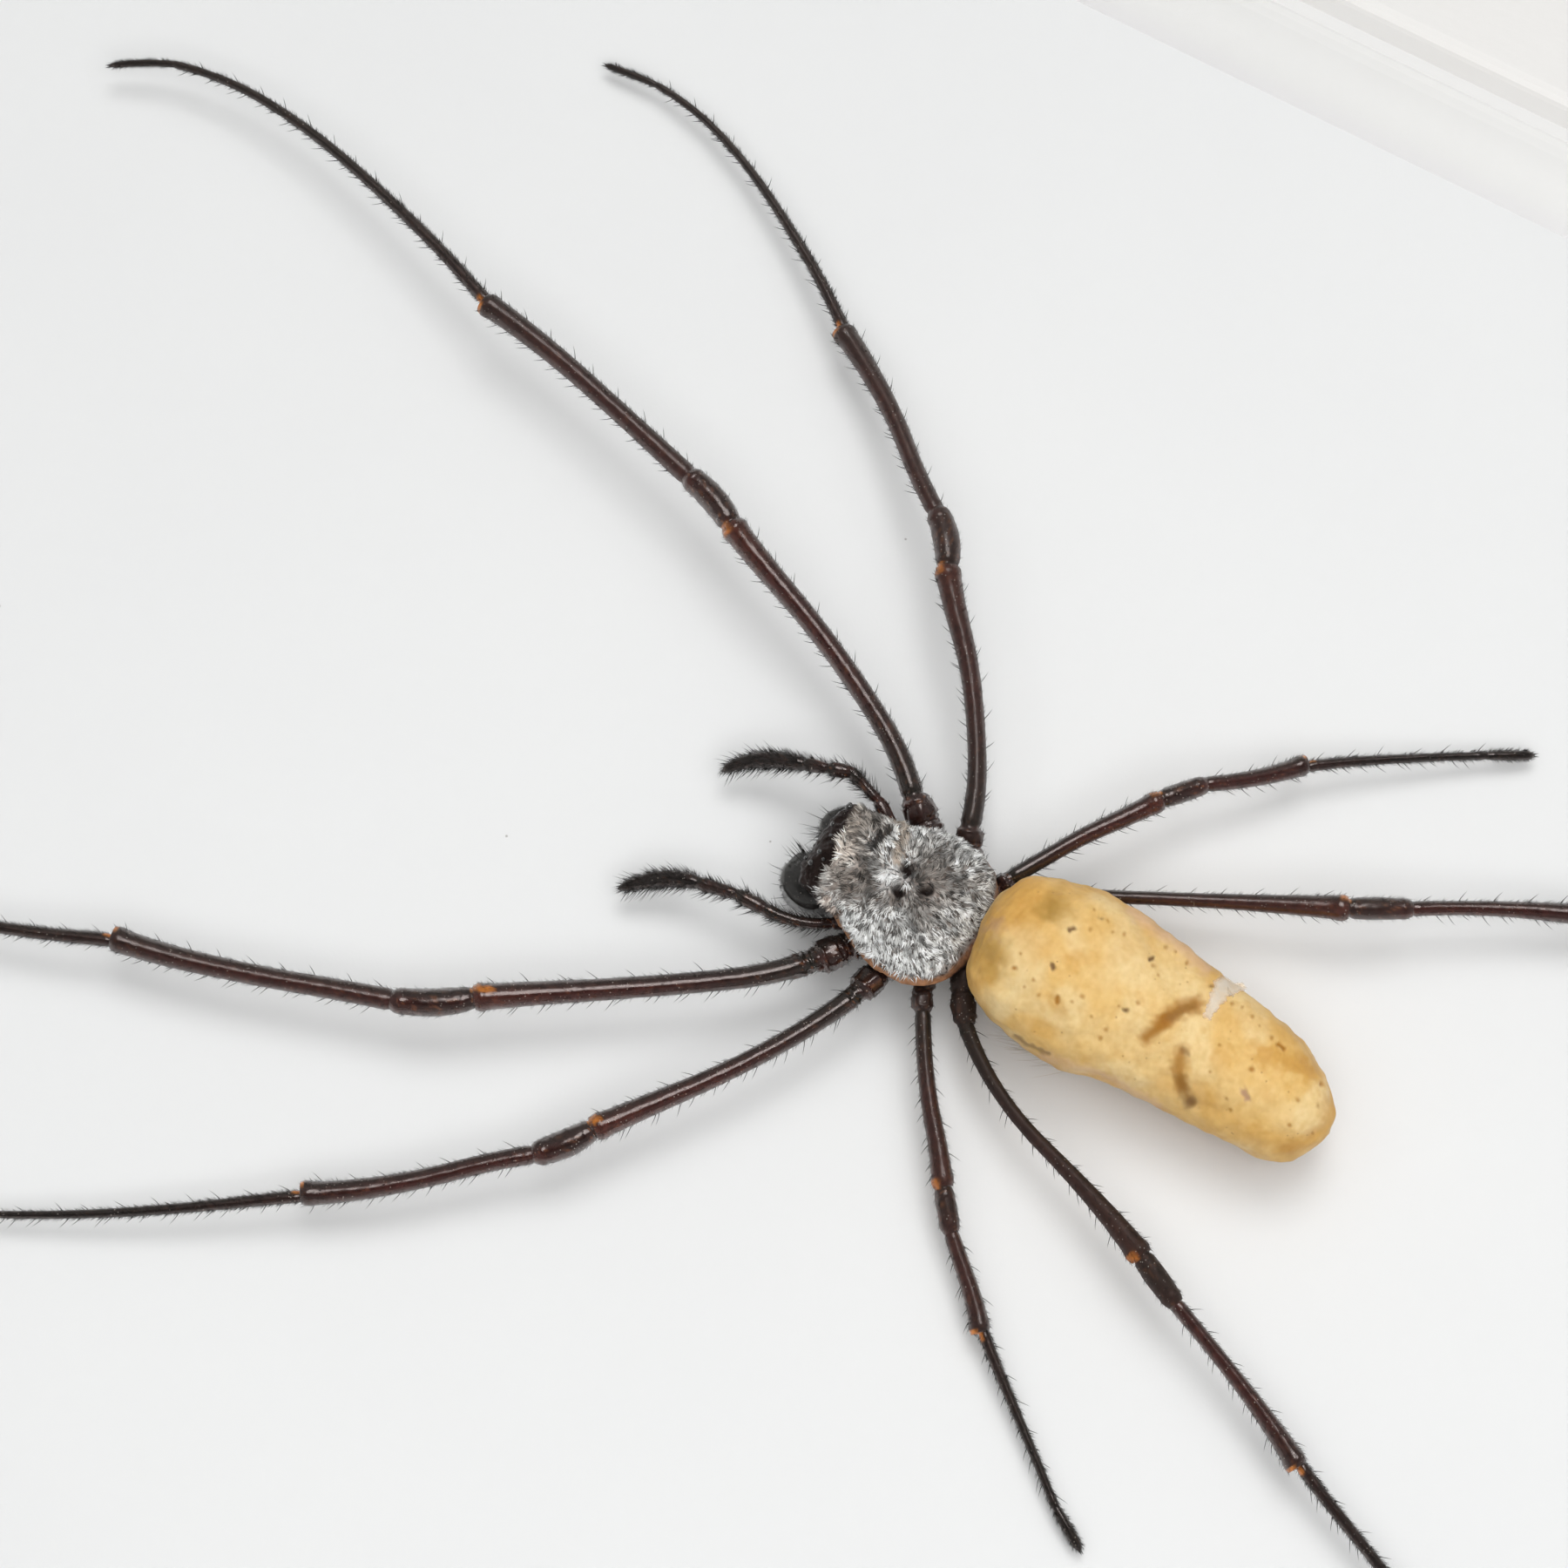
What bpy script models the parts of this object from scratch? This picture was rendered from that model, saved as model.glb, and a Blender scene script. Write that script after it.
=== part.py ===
"""A golden orb-weaver spider, dried and set with its legs spread, in a white box frame.

The frame lies on its back with the glass facing up. The head points towards +Y, the top of the frame, and the
spider's right side is +X. Lengths are metres, written as millimetres times MM. The origin is the middle of
the frame's back, and every height of the spider is counted from the top of the white board.
"""

import math

import bmesh
import bpy
from mathutils import Matrix, Vector

MM = 0.001

# The box frame
INTERIOR_WIDTH = 148 * MM  # between the inner walls
INTERIOR_LENGTH = 184 * MM
WALL_HEIGHT = 14 * MM  # from the board to the glass
RAIL_WIDTH = 13 * MM
RAIL_LIP = 3.3 * MM  # thickness of the lip over the glass
SPACER_THICK = 4 * MM
GAP = 0.3 * MM  # between pieces that touch
MITRE_GAP = 0.2 * MM  # each mitred end stops this short
RECESS = 2.5 * MM  # how far the back panel sits inside the rails
PANEL_THICK = 2.5 * MM
BOARD_THICK = 3 * MM
GLASS_THICK = 2 * MM
OUTER_ROUND = 1.6 * MM
LIP_ROUND = 0.9 * MM
ROUND_STEPS = 3
RAIL_SHARP_ANGLE = 35  # degrees; flatter edges are shaded smooth
BODY_SHARP_ANGLE = 50

OUTER_WIDTH = INTERIOR_WIDTH + 2 * RAIL_WIDTH
OUTER_LENGTH = INTERIOR_LENGTH + 2 * RAIL_WIDTH
SHEET_WIDTH = INTERIOR_WIDTH + 2 * SPACER_THICK
SHEET_LENGTH = INTERIOR_LENGTH + 2 * SPACER_THICK
REBATE = RAIL_WIDTH - SPACER_THICK - GAP  # from the outer face to the wall that holds the sheets
PANEL_BOTTOM = RECESS
BOARD_BOTTOM = PANEL_BOTTOM + PANEL_THICK + GAP
BOARD_TOP = BOARD_BOTTOM + BOARD_THICK
SPACER_BOTTOM = BOARD_TOP + GAP
GLASS_BOTTOM = SPACER_BOTTOM + WALL_HEIGHT + GAP
LIP_BOTTOM = GLASS_BOTTOM + GLASS_THICK + GAP
FRAME_HEIGHT = LIP_BOTTOM + RAIL_LIP

# The bendable steel points that keep the back panel in
TAB_LENGTH = 13 * MM
TAB_WIDTH = 6 * MM
TAB_THICK = 0.5 * MM
TAB_NECK = 0.6  # share of the length at full width
TAB_PLACES = (("right", 45), ("right", -45), ("left", 45), ("left", -45), ("top", 0), ("bottom", 0))

SPIDER_OFFSET = 7 * MM  # towards +X, which sets the spread of its legs in the middle

# The head and thorax in one piece, placed by its middle and turned a little towards +X
PROSOMA_PLACE = (-3.1, -9.8)
PROSOMA_TURN = 4.5  # degrees clockwise, seen from above
STEM_HALF_WIDTH = 2.0  # the narrow breastplate between the leg bases
STEM_SHARE = 0.6  # at most this share of the shield's half width
STEM_BOTTOM = 2.9
STEM_REAR = -4.6
STEM_FRONT = 4.5
STEM_PROFILE = ((0.55, 0.0), (0.95, 0.3), (1.0, 0.9))  # share of its half width, then of its height
RIM_DEPTH = 0.4  # how far the underside lies below the shield's edge
RIM_SHARE = 0.9  # width of the underside as a share of the shield's
BELLY_DEPTH = 0.1  # how far the underside sinks where there is no breastplate
# From rear to front: place along the body, half width of the shield, height of its edge, height of its top
SHIELD = (
    (-5.0, 1.7, 5.4, 5.8),
    (-4.4, 3.4, 5.6, 6.6),
    (-3.3, 4.75, 5.9, 7.8),
    (-1.7, 5.45, 6.0, 8.5),
    (0.0, 5.6, 6.1, 8.7),
    (1.5, 5.3, 6.1, 8.7),
    (2.8, 4.75, 6.2, 8.8),
    (4.0, 4.2, 6.3, 9.0),
    (5.2, 3.9, 6.5, 9.2),
    (6.4, 3.75, 6.7, 9.0),
    (7.3, 3.5, 6.8, 8.5),
    (7.9, 3.0, 6.9, 7.9),
)
DOME_STEPS = 7
DOME_POWER = 0.85  # under 1 makes the dome's shoulders fuller

# The jaws: two bulbs under the front of the shield, from top to bottom
JAW_PLACES = (("right", 2.3), ("left", -2.3))  # distance from the middle line
JAW = (  # height, half width, half depth, place along the body
    (5.95, 0.9, 0.9, 7.3),
    (5.7, 1.6, 1.6, 7.45),
    (5.0, 2.1, 2.15, 7.7),
    (4.0, 2.15, 2.2, 7.7),
    (3.0, 1.9, 1.9, 7.45),
    (2.2, 1.45, 1.4, 7.2),
    (1.5, 0.8, 0.8, 7.0),
)
JAW_SIDES = 12

# The abdomen, from its rounded front to its rear
ABDOMEN_FRONT = (-14.2, 8.1)  # place along Y and height of its foremost point
ABDOMEN_SECTIONS = (  # distance behind the front, X of the middle, half width, height of the middle, half height
    (0.3, -2.7, 1.8, 8.1, 1.1),
    (0.8, -2.65, 3.25, 8.0, 2.1),
    (1.6, -2.6, 4.45, 7.75, 3.2),
    (3.0, -2.7, 5.3, 7.4, 4.2),
    (4.8, -2.75, 5.85, 7.1, 4.85),
    (7.0, -2.6, 6.15, 6.9, 5.25),
    (9.5, -2.55, 6.1, 6.8, 5.15),
    (12.8, -2.6, 5.6, 6.4, 4.75),
    (16.0, -2.75, 5.3, 6.1, 4.4),
    (19.0, -3.05, 5.05, 5.9, 4.2),
    (22.2, -3.35, 4.8, 5.8, 4.15),
    (24.7, -3.65, 4.15, 5.6, 3.6),
    (26.5, -3.8, 3.1, 5.5, 2.7),
    (27.5, -3.9, 1.7, 5.4, 1.5),
)
ABDOMEN_REAR = (28.0, -3.9, 5.4)  # distance behind the front, X and height of the hindmost point
ABDOMEN_SIDES = 20
PEDICEL = ((-3.2, -15.3, 4.6), (-2.8, -17.4, 5.6))  # from the thorax up into the abdomen
PEDICEL_RADII = (0.7, 0.9)
SPINNERETS = ((-3.75, -37.2, 2.6), (-3.85, -38.4, 0.95))  # from inside the abdomen down to their tips
SPINNERET_RADII = (1.2, 0.55)

# The legs. Each is its root, then its segments from the body outwards: length, headings along it in degrees
# clockwise from the head's direction, and the height of its far end. All in millimetres above the board.
SEGMENTS = ("coxa", "trochanter", "femur", "patella", "tibia", "metatarsus", "tarsus")
LEGS = {
    "leg_right_1": (
        (0.5, -9.7, 4.2),
        (
            (3.5, (43,), 4.4),
            (2.1, (37,), 5.0),
            (23.7, (47, 30, 26, 21, 25), 7.2),
            (5.0, (34, 12), 6.8),
            (20.4, (17, 16, 9), 6.0),
            (31.9, (26, 19, 16, 7, -12), 3.2),
            (5.0, (-19, -33), 2.5),
        ),
    ),
    "leg_right_2": (
        (0.7, -12.2, 4.1),
        (
            (2.6, (53,), 4.3),
            (1.5, (67,), 4.9),
            (19.1, (75, 61, 56, 47, 53), 6.6),
            (4.7, (69, 36), 6.0),
            (16.7, (36, 44, 36, 31), 3.6),
            (25.3, (43, 34, 31, 22, 5), 1.6),
            (4.3, (0, -6), 1.2),
        ),
    ),
    "leg_right_3": (
        (-0.1, -13.8, 4.0),
        (
            (1.4, (96,), 4.2),
            (1.0, (112,), 4.5),
            (12.0, (122, 121, 128, 124), 5.2),
            (3.6, (129,), 4.6),
            (7.8, (144, 129), 3.0),
            (13.1, (145, 148), 1.6),
            (3.6, (149,), 1.2),
        ),
    ),
    "leg_right_4": (
        (-0.8, -15.1, 3.6),
        (
            (2.2, (114,), 3.2),
            (1.8, (121,), 2.9),
            (21.2, (155, 156, 157), 5.2),
            (4.6, (150,), 4.6),
            (12.7, (148, 157), 3.6),
            (20.7, (153, 162), 1.8),
            (3.7, (159,), 1.2),
        ),
    ),
    "leg_left_1": (
        (-5.1, -8.5, 4.1),
        (
            (3.5, (-53,), 4.3),
            (2.4, (-55,), 4.7),
            (23.8, (-48, -35, -33, -32, -33), 5.0),
            (5.8, (-40, -18), 4.6),
            (20.3, (-17, -18, -15, -9), 4.0),
            (29.1, (-25, -17, -7, 7), 2.0),
            (5.2, (26, 35), 1.4),
        ),
    ),
    "leg_left_2": (
        (-5.7, -10.5, 4.1),
        (
            (2.8, (-67,), 4.3),
            (2.3, (-76,), 4.7),
            (20.7, (-66, -58, -52, -52), 4.6),
            (4.5, (-61, -41), 4.2),
            (16.3, (-37, -43, -37, -30), 3.4),
            (24.0, (-36, -31, -25), 1.6),
            (4.5, (-20, -14), 1.2),
        ),
    ),
    "leg_left_3": (
        (-5.7, -12.2, 4.0),
        (
            (2.3, (-102,), 4.0),
            (1.5, (-120,), 3.9),
            (12.4, (-119, -123, -130, -123), 3.0),
            (3.2, (-128,), 2.6),
            (7.2, (-137, -137, -129), 2.0),
            (12.9, (-142, -140), 1.2),
            (3.4, (-148,), 1.0),
        ),
    ),
    "leg_left_4": (
        (-4.9, -14.5, 3.9),
        (
            (2.1, (-111,), 4.1),
            (2.3, (-124,), 4.3),
            (20.5, (-136, -150, -162, -159, -154), 5.0),
            (4.0, (-154,), 4.6),
            (13.7, (-158, -156, -151), 3.4),
            (19.5, (-157,), 1.8),
            (3.6, (-157,), 1.2),
        ),
    ),
}
# Widths of each segment at its start, middle and end, one row for each pair of legs
LEG_WIDTHS = {
    "1": (
        (1.7, 2.1, 2.0), (1.9, 2.05, 1.7), (1.65, 1.5, 1.9), (1.6, 1.95, 1.6),
        (1.55, 1.45, 1.75), (0.95, 0.75, 0.55), (0.5, 0.5, 0.4),
    ),
    "2": (
        (1.5, 1.9, 1.7), (1.7, 1.85, 1.5), (1.5, 1.35, 1.85), (1.5, 1.95, 1.5),
        (1.35, 1.35, 1.7), (0.9, 0.65, 0.5), (0.45, 0.5, 0.4),
    ),
    "3": (
        (1.4, 1.7, 1.5), (1.45, 1.6, 1.3), (1.15, 1.2, 1.55), (1.3, 1.45, 1.2),
        (1.1, 1.2, 1.45), (0.85, 0.65, 0.6), (0.6, 0.75, 0.55),
    ),
    "4": (
        (1.5, 1.9, 1.7), (1.65, 1.75, 1.4), (1.15, 1.0, 1.8), (1.4, 1.6, 1.25),
        (1.1, 1.1, 1.65), (0.9, 0.75, 0.55), (0.5, 0.5, 0.4),
    ),
}
LEG_RINGS = (3, 2, 6, 3, 5, 6, 3)  # rings on each segment
LEG_SIDES = 8
BEND_STEPS = 24  # steps that each segment's bend is worked out in
END_RING = 0.5  # how far from a joint the nearest rings sit
JOINT_PINCH = 0.86  # width at a joint as a share of the thinner end there

# The palps, in the same way but with no trochanter or metatarsus
PALPS = {
    "palp_right": (
        (1.6, -5.1, 4.8),
        (
            (1.9, (33,), 5.0),
            (2.7, (19,), 5.2),
            (1.7, (-18,), 5.2),
            (1.9, (-12,), 4.6),
            (6.4, (-8, -23, -54), 2.4),
        ),
    ),
    "palp_left": (
        (-6.1, -5.9, 4.3),
        (
            (1.2, (-29,), 4.4),
            (4.9, (-37, 3), 4.6),
            (2.3, (1,), 4.4),
            (3.0, (-8,), 3.8),
            (6.0, (-7, -31, -45), 2.2),
        ),
    ),
}
PALP_WIDTHS = ((0.9, 1.0, 0.9), (0.8, 0.8, 0.95), (0.9, 1.05, 0.85), (0.8, 0.95, 0.9), (1.0, 1.2, 0.45))
PALP_RINGS = (2, 3, 2, 3, 5)
PALP_SIDES = 7

# The dabs of glue under the thorax and the abdomen: middle, then radius and height of each ring
GLUE = {
    "glue_dab_front": ((-2.9, -9.9), ((2.9, 0.3), (2.7, 1.0), (2.1, 1.9), (1.6, 2.6))),
    "glue_dab_rear": ((-2.6, -23.5), ((4.2, 0.3), (3.9, 0.7), (2.9, 1.2))),
}
GLUE_SIDES = 14

# Colours in linear light, roughness and metallic value
MATERIALS = {
    "white_paint": ((0.82, 0.81, 0.78), 0.45, 0.0),
    "white_board": ((0.86, 0.86, 0.86), 0.7, 0.0),
    "wall_card": ((0.82, 0.8, 0.8), 0.7, 0.0),
    "clear_glass": ((0.95, 0.97, 0.96), 0.02, 0.0),
    "brown_fibreboard": ((0.24, 0.14, 0.07), 0.8, 0.0),
    "bright_steel": ((0.6, 0.6, 0.6), 0.35, 1.0),
    "clear_glue": ((0.75, 0.74, 0.7), 0.3, 0.0),
    "silver_down": ((0.4, 0.39, 0.37), 0.75, 0.0),
    "waxy_yellow": ((0.82, 0.53, 0.21), 0.45, 0.0),
    "black_cuticle": ((0.015, 0.013, 0.012), 0.25, 0.0),
    "brown_cuticle": ((0.05, 0.018, 0.012), 0.3, 0.0),
}


def remove_everything():
    for thing in list(bpy.data.objects):
        bpy.data.objects.remove(thing)


def make_material(name):
    colour, roughness, metallic = MATERIALS[name]
    material = bpy.data.materials.new(name)
    material.use_nodes = True
    shader = material.node_tree.nodes["Principled BSDF"]
    shader.inputs["Base Color"].default_value = (*colour, 1)
    shader.inputs["Roughness"].default_value = roughness
    shader.inputs["Metallic"].default_value = metallic
    return material


def material_of(name):
    return bpy.data.materials.get(name) or make_material(name)


def skin(name, rings, material, location=(0, 0, 0), turn=0.0, tips=(None, None), smooth=True):
    """One closed solid over rings with equal numbers of points. A tip closes an end to a point."""
    mesh = bmesh.new()
    loops = [[mesh.verts.new(point) for point in ring] for ring in rings]
    count = len(loops[0])
    for near, far in zip(loops, loops[1:]):
        for i in range(count):
            after = (i + 1) % count
            mesh.faces.new((near[i], near[after], far[after], far[i]))
    for loop, tip in ((loops[0], tips[0]), (loops[-1], tips[1])):
        if tip is None:
            mesh.faces.new(loop)
            continue
        point = mesh.verts.new(tip)
        for i in range(count):
            mesh.faces.new((loop[i], loop[(i + 1) % count], point))
    bmesh.ops.recalc_face_normals(mesh, faces=mesh.faces)
    data = bpy.data.meshes.new(name)
    mesh.to_mesh(data)
    mesh.free()
    if smooth:
        data.shade_smooth()
        data.set_sharp_from_angle(angle=math.radians(BODY_SHARP_ANGLE))
    data.materials.append(material_of(material))
    thing = bpy.data.objects.new(name, data)
    thing.location = location
    thing.rotation_euler.z = -math.radians(turn)
    bpy.context.scene.collection.objects.link(thing)
    return thing


def on_board(thing):
    """Sets a piece of the spider on the board, through the empty that all of them hang from."""
    thing.parent = bpy.data.objects["spider"]
    return thing


def block(name, size, centre, material):
    """A flat sheet with square edges."""
    x, y, z = (side / 2 for side in size)
    corners = ((-x, -y), (x, -y), (x, y), (-x, y))
    rings = [[(u, v, w) for u, v in corners] for w in (-z, z)]
    return skin(name, rings, material, location=centre, smooth=False)


def rounded_corner(corner, radius, start):
    """Points of a quarter circle that takes off a profile's corner, from start degrees backwards."""
    u, z = corner
    angles = [math.radians(start - 90 * step / ROUND_STEPS) for step in range(ROUND_STEPS + 1)]
    return [(u + radius * math.cos(angle), z + radius * math.sin(angle)) for angle in angles]


def rail_profile():
    """Points as distance in from the outer face and height: a bar with a rebate under its lip."""
    outer = rounded_corner((OUTER_ROUND, FRAME_HEIGHT - OUTER_ROUND), OUTER_ROUND, 180)
    inner = rounded_corner((RAIL_WIDTH - LIP_ROUND, FRAME_HEIGHT - LIP_ROUND), LIP_ROUND, 90)
    rest = [(RAIL_WIDTH, LIP_BOTTOM), (REBATE, LIP_BOTTOM), (REBATE, 0), (0, 0)]
    return outer + inner + rest


def spacer_profile():
    top = SPACER_BOTTOM + WALL_HEIGHT
    return [(0, SPACER_BOTTOM), (0, top), (SPACER_THICK, top), (SPACER_THICK, SPACER_BOTTOM)]


SIDES = {  # turn of each side of the frame, seen from above, and whether it is a long side
    "right": (0, True),
    "top": (90, False),
    "left": (180, True),
    "bottom": (270, False),
}


def mitred_frame(prefix, profile, width, length, material):
    """Four bars of one profile, mitred at the corners."""
    for side, (angle, is_long) in SIDES.items():
        run, across = (length, width) if is_long else (width, length)
        turn = Matrix.Rotation(math.radians(angle), 3, "Z")
        ends = []
        for sign in (-1, 1):
            reach = [sign * (run / 2 - u - MITRE_GAP) for u, _ in profile]
            ends.append([turn @ Vector((across / 2 - u, y, z)) for (u, z), y in zip(profile, reach)])
        bar = skin(f"{prefix}_{side}", ends, material)
        bar.data.set_sharp_from_angle(angle=math.radians(RAIL_SHARP_ANGLE))


def panel_tabs():
    """Flat steel points with a sharp end, standing out of the rebate over the back panel."""
    thickness = (PANEL_BOTTOM - GAP - TAB_THICK, PANEL_BOTTOM - GAP)
    for number, (side, along) in enumerate(TAB_PLACES, start=1):
        angle, is_long = SIDES[side]
        wall = (OUTER_WIDTH if is_long else OUTER_LENGTH) / 2 - REBATE - GAP
        half = TAB_WIDTH / 2
        neck = wall - TAB_NECK * TAB_LENGTH
        outline = ((wall, -half), (wall, half), (neck, half), (wall - TAB_LENGTH, 0), (neck, -half))
        turn = Matrix.Rotation(math.radians(angle), 3, "Z")
        place = turn @ Vector((0, along * MM, 0))
        rings = [[turn @ Vector((u, v, z)) for u, v in outline] for z in thickness]
        skin(f"panel_tab_{number}", rings, "bright_steel", location=place, smooth=False)


def build_frame():
    mitred_frame("rail", rail_profile(), OUTER_WIDTH, OUTER_LENGTH, "white_paint")
    mitred_frame("spacer", spacer_profile(), SHEET_WIDTH, SHEET_LENGTH, "wall_card")
    sheets = (
        ("back_panel", PANEL_BOTTOM, PANEL_THICK, "brown_fibreboard"),
        ("backing_board", BOARD_BOTTOM, BOARD_THICK, "white_board"),
        ("glass_pane", GLASS_BOTTOM, GLASS_THICK, "clear_glass"),
    )
    for name, bottom, thick, material in sheets:
        middle = (0, 0, bottom + thick / 2)
        block(name, (SHEET_WIDTH, SHEET_LENGTH, thick), middle, material)
    panel_tabs()


def shield_section(half_width, edge, top, has_stem):
    """The right half of a slice of the thorax, from under the middle line up to the top of the dome."""
    under = edge - RIM_DEPTH
    bottom = STEM_BOTTOM if has_stem else under - BELLY_DEPTH
    stem_half = min(STEM_HALF_WIDTH, STEM_SHARE * half_width)
    stem = [(width * stem_half, bottom + rise * (under - bottom)) for width, rise in STEM_PROFILE]
    rim = [(RIM_SHARE * half_width, under), (half_width, edge)]
    dome = []
    for step in range(1, DOME_STEPS):
        angle = math.radians(90 * step / DOME_STEPS)
        dome.append((half_width * math.cos(angle), edge + (top - edge) * math.sin(angle) ** DOME_POWER))
    return stem + rim + dome


def build_prosoma():
    rings = []
    for along, half_width, edge, top in SHIELD:
        right = shield_section(half_width, edge, top, STEM_REAR < along < STEM_FRONT)
        left = [(-x, z) for x, z in reversed(right)]
        ring = right + [(0, top)] + left
        rings.append([(x * MM, along * MM, z * MM) for x, z in ring])
    place = (PROSOMA_PLACE[0] * MM, PROSOMA_PLACE[1] * MM, 0)
    on_board(skin("prosoma", rings, "silver_down", location=place, turn=PROSOMA_TURN))


def build_jaws():
    turn = Matrix.Rotation(-math.radians(PROSOMA_TURN), 3, "Z")
    for side, offset in JAW_PLACES:
        rings = []
        for height, half_width, half_depth, along in JAW:
            ring = []
            for step in range(JAW_SIDES):
                angle = 2 * math.pi * step / JAW_SIDES
                x = half_width * math.cos(angle)
                y = along + half_depth * math.sin(angle)
                ring.append(Vector((x, y, height)) * MM)
            rings.append(ring)
        place = (Vector((*PROSOMA_PLACE, 0)) + turn @ Vector((offset, 0, 0))) * MM
        jaw = skin(f"chelicera_{side}", rings, "black_cuticle", location=place, turn=PROSOMA_TURN)
        on_board(jaw)


def fused(thing, helper):
    """Joins a helper solid to a piece with a Boolean union."""
    helper.hide_render = True
    helper.display_type = "WIRE"
    union = thing.modifiers.new(helper.name, "BOOLEAN")
    union.operation = "UNION"
    union.solver = "EXACT"
    union.object = helper


def cone(name, ends, radii):
    """A straight taper between two places on the spider."""
    run = Vector(ends[1]) - Vector(ends[0])
    rings = [circle(end, run, radius, LEG_SIDES) for end, radius in zip(ends, radii)]
    return on_board(skin(name, rings, "black_cuticle"))


def build_abdomen():
    front_y, front_z = ABDOMEN_FRONT
    rings = []
    for back, x, half_width, z, half_height in ABDOMEN_SECTIONS:
        ring = []
        for step in range(ABDOMEN_SIDES):
            angle = 2 * math.pi * step / ABDOMEN_SIDES
            side = half_width * math.cos(angle)
            ring.append(Vector((x + side, front_y - back, z + half_height * math.sin(angle))) * MM)
        rings.append(ring)
    rear_back, rear_x, rear_z = ABDOMEN_REAR
    tips = (
        Vector((ABDOMEN_SECTIONS[0][1], front_y, front_z)) * MM,
        Vector((rear_x, front_y - rear_back, rear_z)) * MM,
    )
    abdomen = on_board(skin("abdomen", rings, "waxy_yellow", tips=tips))
    fused(abdomen, cone("pedicel_form", PEDICEL, PEDICEL_RADII))
    fused(abdomen, cone("spinneret_form", SPINNERETS, SPINNERET_RADII))


def circle(centre, tangent, radius, sides):
    """A ring of points around a limb, square to its run, in metres."""
    tangent = tangent.normalized()
    side = tangent.cross(Vector((0, 0, 1))).normalized()
    up = side.cross(tangent)
    ring = []
    for step in range(sides):
        angle = 2 * math.pi * step / sides
        ring.append((Vector(centre) + (side * math.cos(angle) + up * math.sin(angle)) * radius) * MM)
    return ring


def blended(values, share):
    """The value at a share of the way along evenly spaced values."""
    place = share * (len(values) - 1)
    before = min(int(place), len(values) - 1)
    after = min(before + 1, len(values) - 1)
    return values[before] + (values[after] - values[before]) * (place - before)


def segment_points(start, length, headings, end_height):
    """Places at equal steps along a segment that bends in plan and rises evenly."""
    rise = end_height - start.z
    pace = math.sqrt(length**2 - rise**2) / BEND_STEPS
    points = [start]
    for step in range(BEND_STEPS):
        heading = math.radians(blended(headings, (step + 0.5) / BEND_STEPS))
        stride = Vector((math.sin(heading) * pace, math.cos(heading) * pace, rise / BEND_STEPS))
        points.append(points[-1] + stride)
    return points


def width_along(widths, share):
    """A curve through a segment's widths at its start, middle and end."""
    start, middle, end = widths
    bulge = 4 * share * (1 - share) * (middle - (start + end) / 2)
    return start + (end - start) * share + bulge


def limb_rings(root, segments, widths, ring_counts, sides):
    """Rings along a limb, pinched in at each joint, and the place of its tip."""
    rings = []
    start = Vector(root)
    for index, (length, headings, end_height) in enumerate(segments):
        points = segment_points(start, length, headings, end_height)
        count = ring_counts[index]
        shares = [(ring + 0.5) / count for ring in range(count)]
        shares[0] = END_RING / length
        shares[-1] = 1 - END_RING / length
        for share in shares:
            behind = blended(points, max(share - 1 / BEND_STEPS, 0))
            ahead = blended(points, min(share + 1 / BEND_STEPS, 1))
            radius = width_along(widths[index], share) / 2
            rings.append(circle(blended(points, share), ahead - behind, radius, sides))
        if index + 1 < len(segments):
            pinch = JOINT_PINCH * min(widths[index][2], widths[index + 1][0]) / 2
            rings.append(circle(points[-1], points[-1] - points[-2], pinch, sides))
        start = points[-1]
    return rings, start * MM


def build_limb(name, limb, widths, ring_counts, sides, material):
    root, segments = limb
    rings, tip = limb_rings(root, segments, widths, ring_counts, sides)
    origin = Vector(root) * MM
    rings = [[point - origin for point in ring] for ring in rings]
    tips = (Vector((0, 0, 0)), tip - origin)
    on_board(skin(name, rings, material, location=origin, tips=tips))


def build_limbs():
    for name, limb in LEGS.items():
        build_limb(name, limb, LEG_WIDTHS[name[-1]], LEG_RINGS, LEG_SIDES, "brown_cuticle")
    for name, limb in PALPS.items():
        build_limb(name, limb, PALP_WIDTHS, PALP_RINGS, PALP_SIDES, "black_cuticle")


def build_glue():
    for name, ((x, y), levels) in GLUE.items():
        rings = []
        for radius, height in levels:
            angles = [2 * math.pi * step / GLUE_SIDES for step in range(GLUE_SIDES)]
            rings.append([(radius * math.cos(a) * MM, radius * math.sin(a) * MM, height * MM) for a in angles])
        on_board(skin(name, rings, "clear_glue", location=(x * MM, y * MM, 0)))


def main():
    remove_everything()
    spider = bpy.data.objects.new("spider", None)
    spider.location = (SPIDER_OFFSET, 0, BOARD_TOP)
    bpy.context.scene.collection.objects.link(spider)
    build_frame()
    build_prosoma()
    build_jaws()
    build_abdomen()
    build_limbs()
    build_glue()


main()
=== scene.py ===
"""The looks of a dried golden orb-weaver spider, set with its legs spread in a white box frame.

Lengths are millimetres until a mesh is made. The spider's own places are counted from SPIDER_PLACE, which is
on the white board, with its head towards +Y, its right side towards +X and heights counted from the board.
"""

from __future__ import annotations

import logging
import math
from collections.abc import Sequence
from dataclasses import dataclass, field, replace
from enum import Enum

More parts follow.
